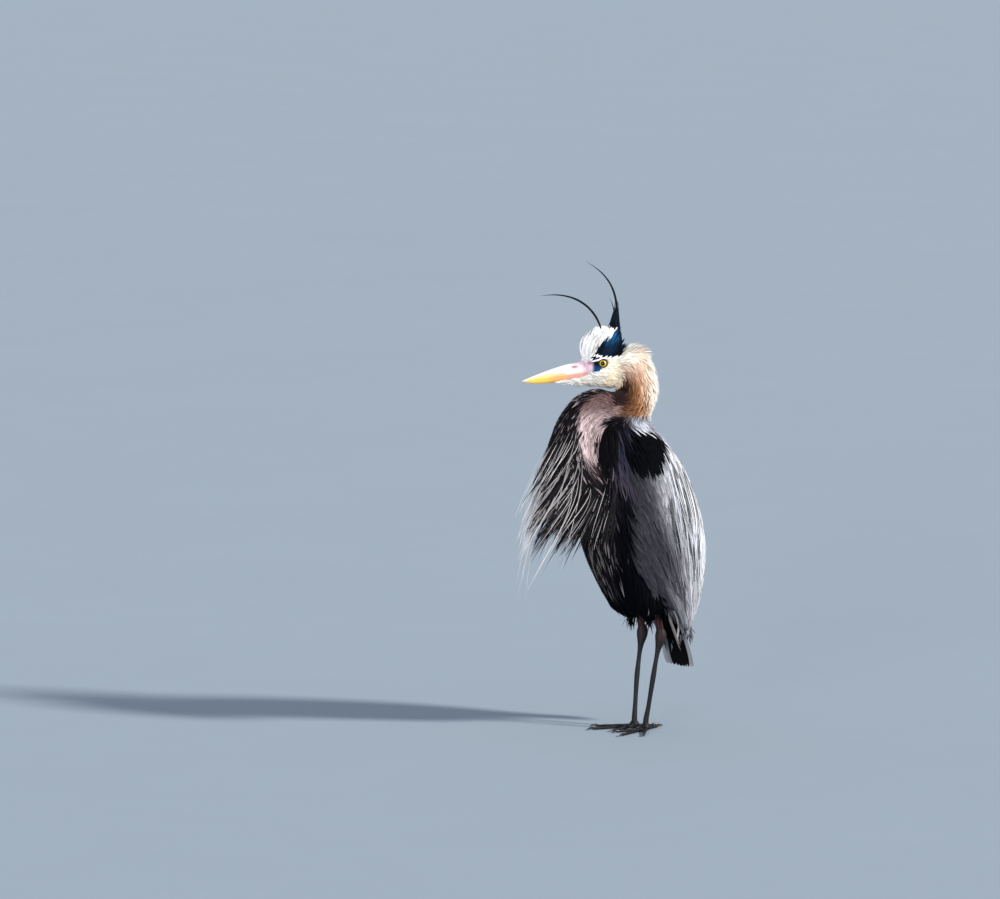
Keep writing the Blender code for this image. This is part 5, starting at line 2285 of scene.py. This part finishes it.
def turned(obj, way, axis):
    """Turns the object so that its axis points this way."""
    obj.rotation_mode = "QUATERNION"
    obj.rotation_quaternion = way.to_track_quat(axis, "Y")


def add_sun(name, energy, softness, towards, colour=(1.0, 1.0, 1.0)):
    """A distant light that shines from the way given."""
    sun = bpy.data.lights.new(name, "SUN")
    sun.energy, sun.angle, sun.color = energy, softness, colour
    turned(put_in_scene(name, sun), towards, "Z")


class HERON_OT_stage(bpy.types.Operator):
    """Set the floor, the lights and the camera"""

    bl_idname = "heron.stage"
    bl_label = "Stage"

    def execute(self, context):
        stage = context.scene.heron_stage
        bm = bmesh.new()
        bmesh.ops.create_circle(bm, cap_ends=True, segments=96, radius=FLOOR_RADIUS)
        floor = put_in_scene("floor", mesh_of("floor", bm))
        floor.data.materials.append(floor_material(stage.floor))

        a, e = stage.azimuth, stage.elevation
        back = Vector((math.sin(a) * math.cos(e), -math.cos(a) * math.cos(e), math.sin(e)))
        right = Vector((math.cos(a), math.sin(a), 0))
        up = right.cross(-back)
        camera = bpy.data.cameras.new("camera")
        camera.sensor_width = SENSOR
        camera.lens = SENSOR * stage.distance / VIEW_SCALE
        camera.clip_end = 500
        holder = put_in_scene("camera", camera)
        aim = FOOTING + (right * VIEW_RIGHT + up * VIEW_UP) * MM
        holder.location = aim + back * stage.distance
        turned(holder, -back, "-Z")
        context.scene.camera = holder

        key_from = right * 0.82 + back * 0.34 + Vector((0, 0, 0.46))
        add_sun("key", stage.key, stage.key_softness, key_from, KEY_COLOUR)
        front_from = back - right * 0.35 + Vector((0, 0, 0.04))
        add_sun("front", stage.front, stage.front_softness, front_from)

        world = bpy.data.worlds.new("soft light")
        world.use_nodes = True
        shade = world.node_tree.nodes["Background"]
        shade.inputs["Color"].default_value = FILL_COLOUR
        shade.inputs["Strength"].default_value = stage.fill
        context.scene.world = world
        context.scene.view_settings.view_transform = "Standard"
        return {"FINISHED"}


# ---------------------------------------------------------------- panel

MAKERS = (
    HERON_OT_skin,
    HERON_OT_coat,
    HERON_OT_wings,
    HERON_OT_mantle,
    HERON_OT_breast,
    HERON_OT_crown,
    HERON_OT_chin,
    HERON_OT_crest,
    HERON_OT_tail,
    HERON_OT_bill,
    HERON_OT_eyes,
    HERON_OT_legs,
    HERON_OT_claws,
    HERON_OT_stage,
)


class HERON_PT_panel(bpy.types.Panel):
    """Makers and settings of the heron"""

    bl_label = "Heron"
    bl_idname = "HERON_PT_panel"
    bl_space_type = "VIEW_3D"
    bl_region_type = "UI"
    bl_category = "Heron"

    def draw(self, context):
        for maker in MAKERS:
            self.layout.operator(maker.bl_idname)
        scene = context.scene
        for settings in (scene.heron_coat, scene.heron_colours, scene.heron_stage):
            box = self.layout.box()
            for name in type(settings).__annotations__:
                box.prop(settings, name)


SETTINGS = {"heron_coat": HeronCoat, "heron_colours": HeronColours, "heron_stage": HeronStage}
CLASSES = (*SETTINGS.values(), *MAKERS, HERON_PT_panel)


def register():
    for item in CLASSES:
        bpy.utils.register_class(item)
    for name, settings in SETTINGS.items():
        setattr(bpy.types.Scene, name, bpy.props.PointerProperty(type=settings))


def unregister():
    for name in SETTINGS:
        delattr(bpy.types.Scene, name)
    for item in reversed(CLASSES):
        bpy.utils.unregister_class(item)


def main():
    register()
    bpy.ops.heron.skin()
    bpy.ops.heron.coat()
    bpy.ops.heron.wings()
    bpy.ops.heron.mantle()
    bpy.ops.heron.breast()
    bpy.ops.heron.crown()
    bpy.ops.heron.chin()
    bpy.ops.heron.crest()
    bpy.ops.heron.tail()
    bpy.ops.heron.bill()
    bpy.ops.heron.eyes()
    bpy.ops.heron.legs()
    bpy.ops.heron.claws()
    bpy.ops.heron.stage()


if __name__ == "__main__":
    main()
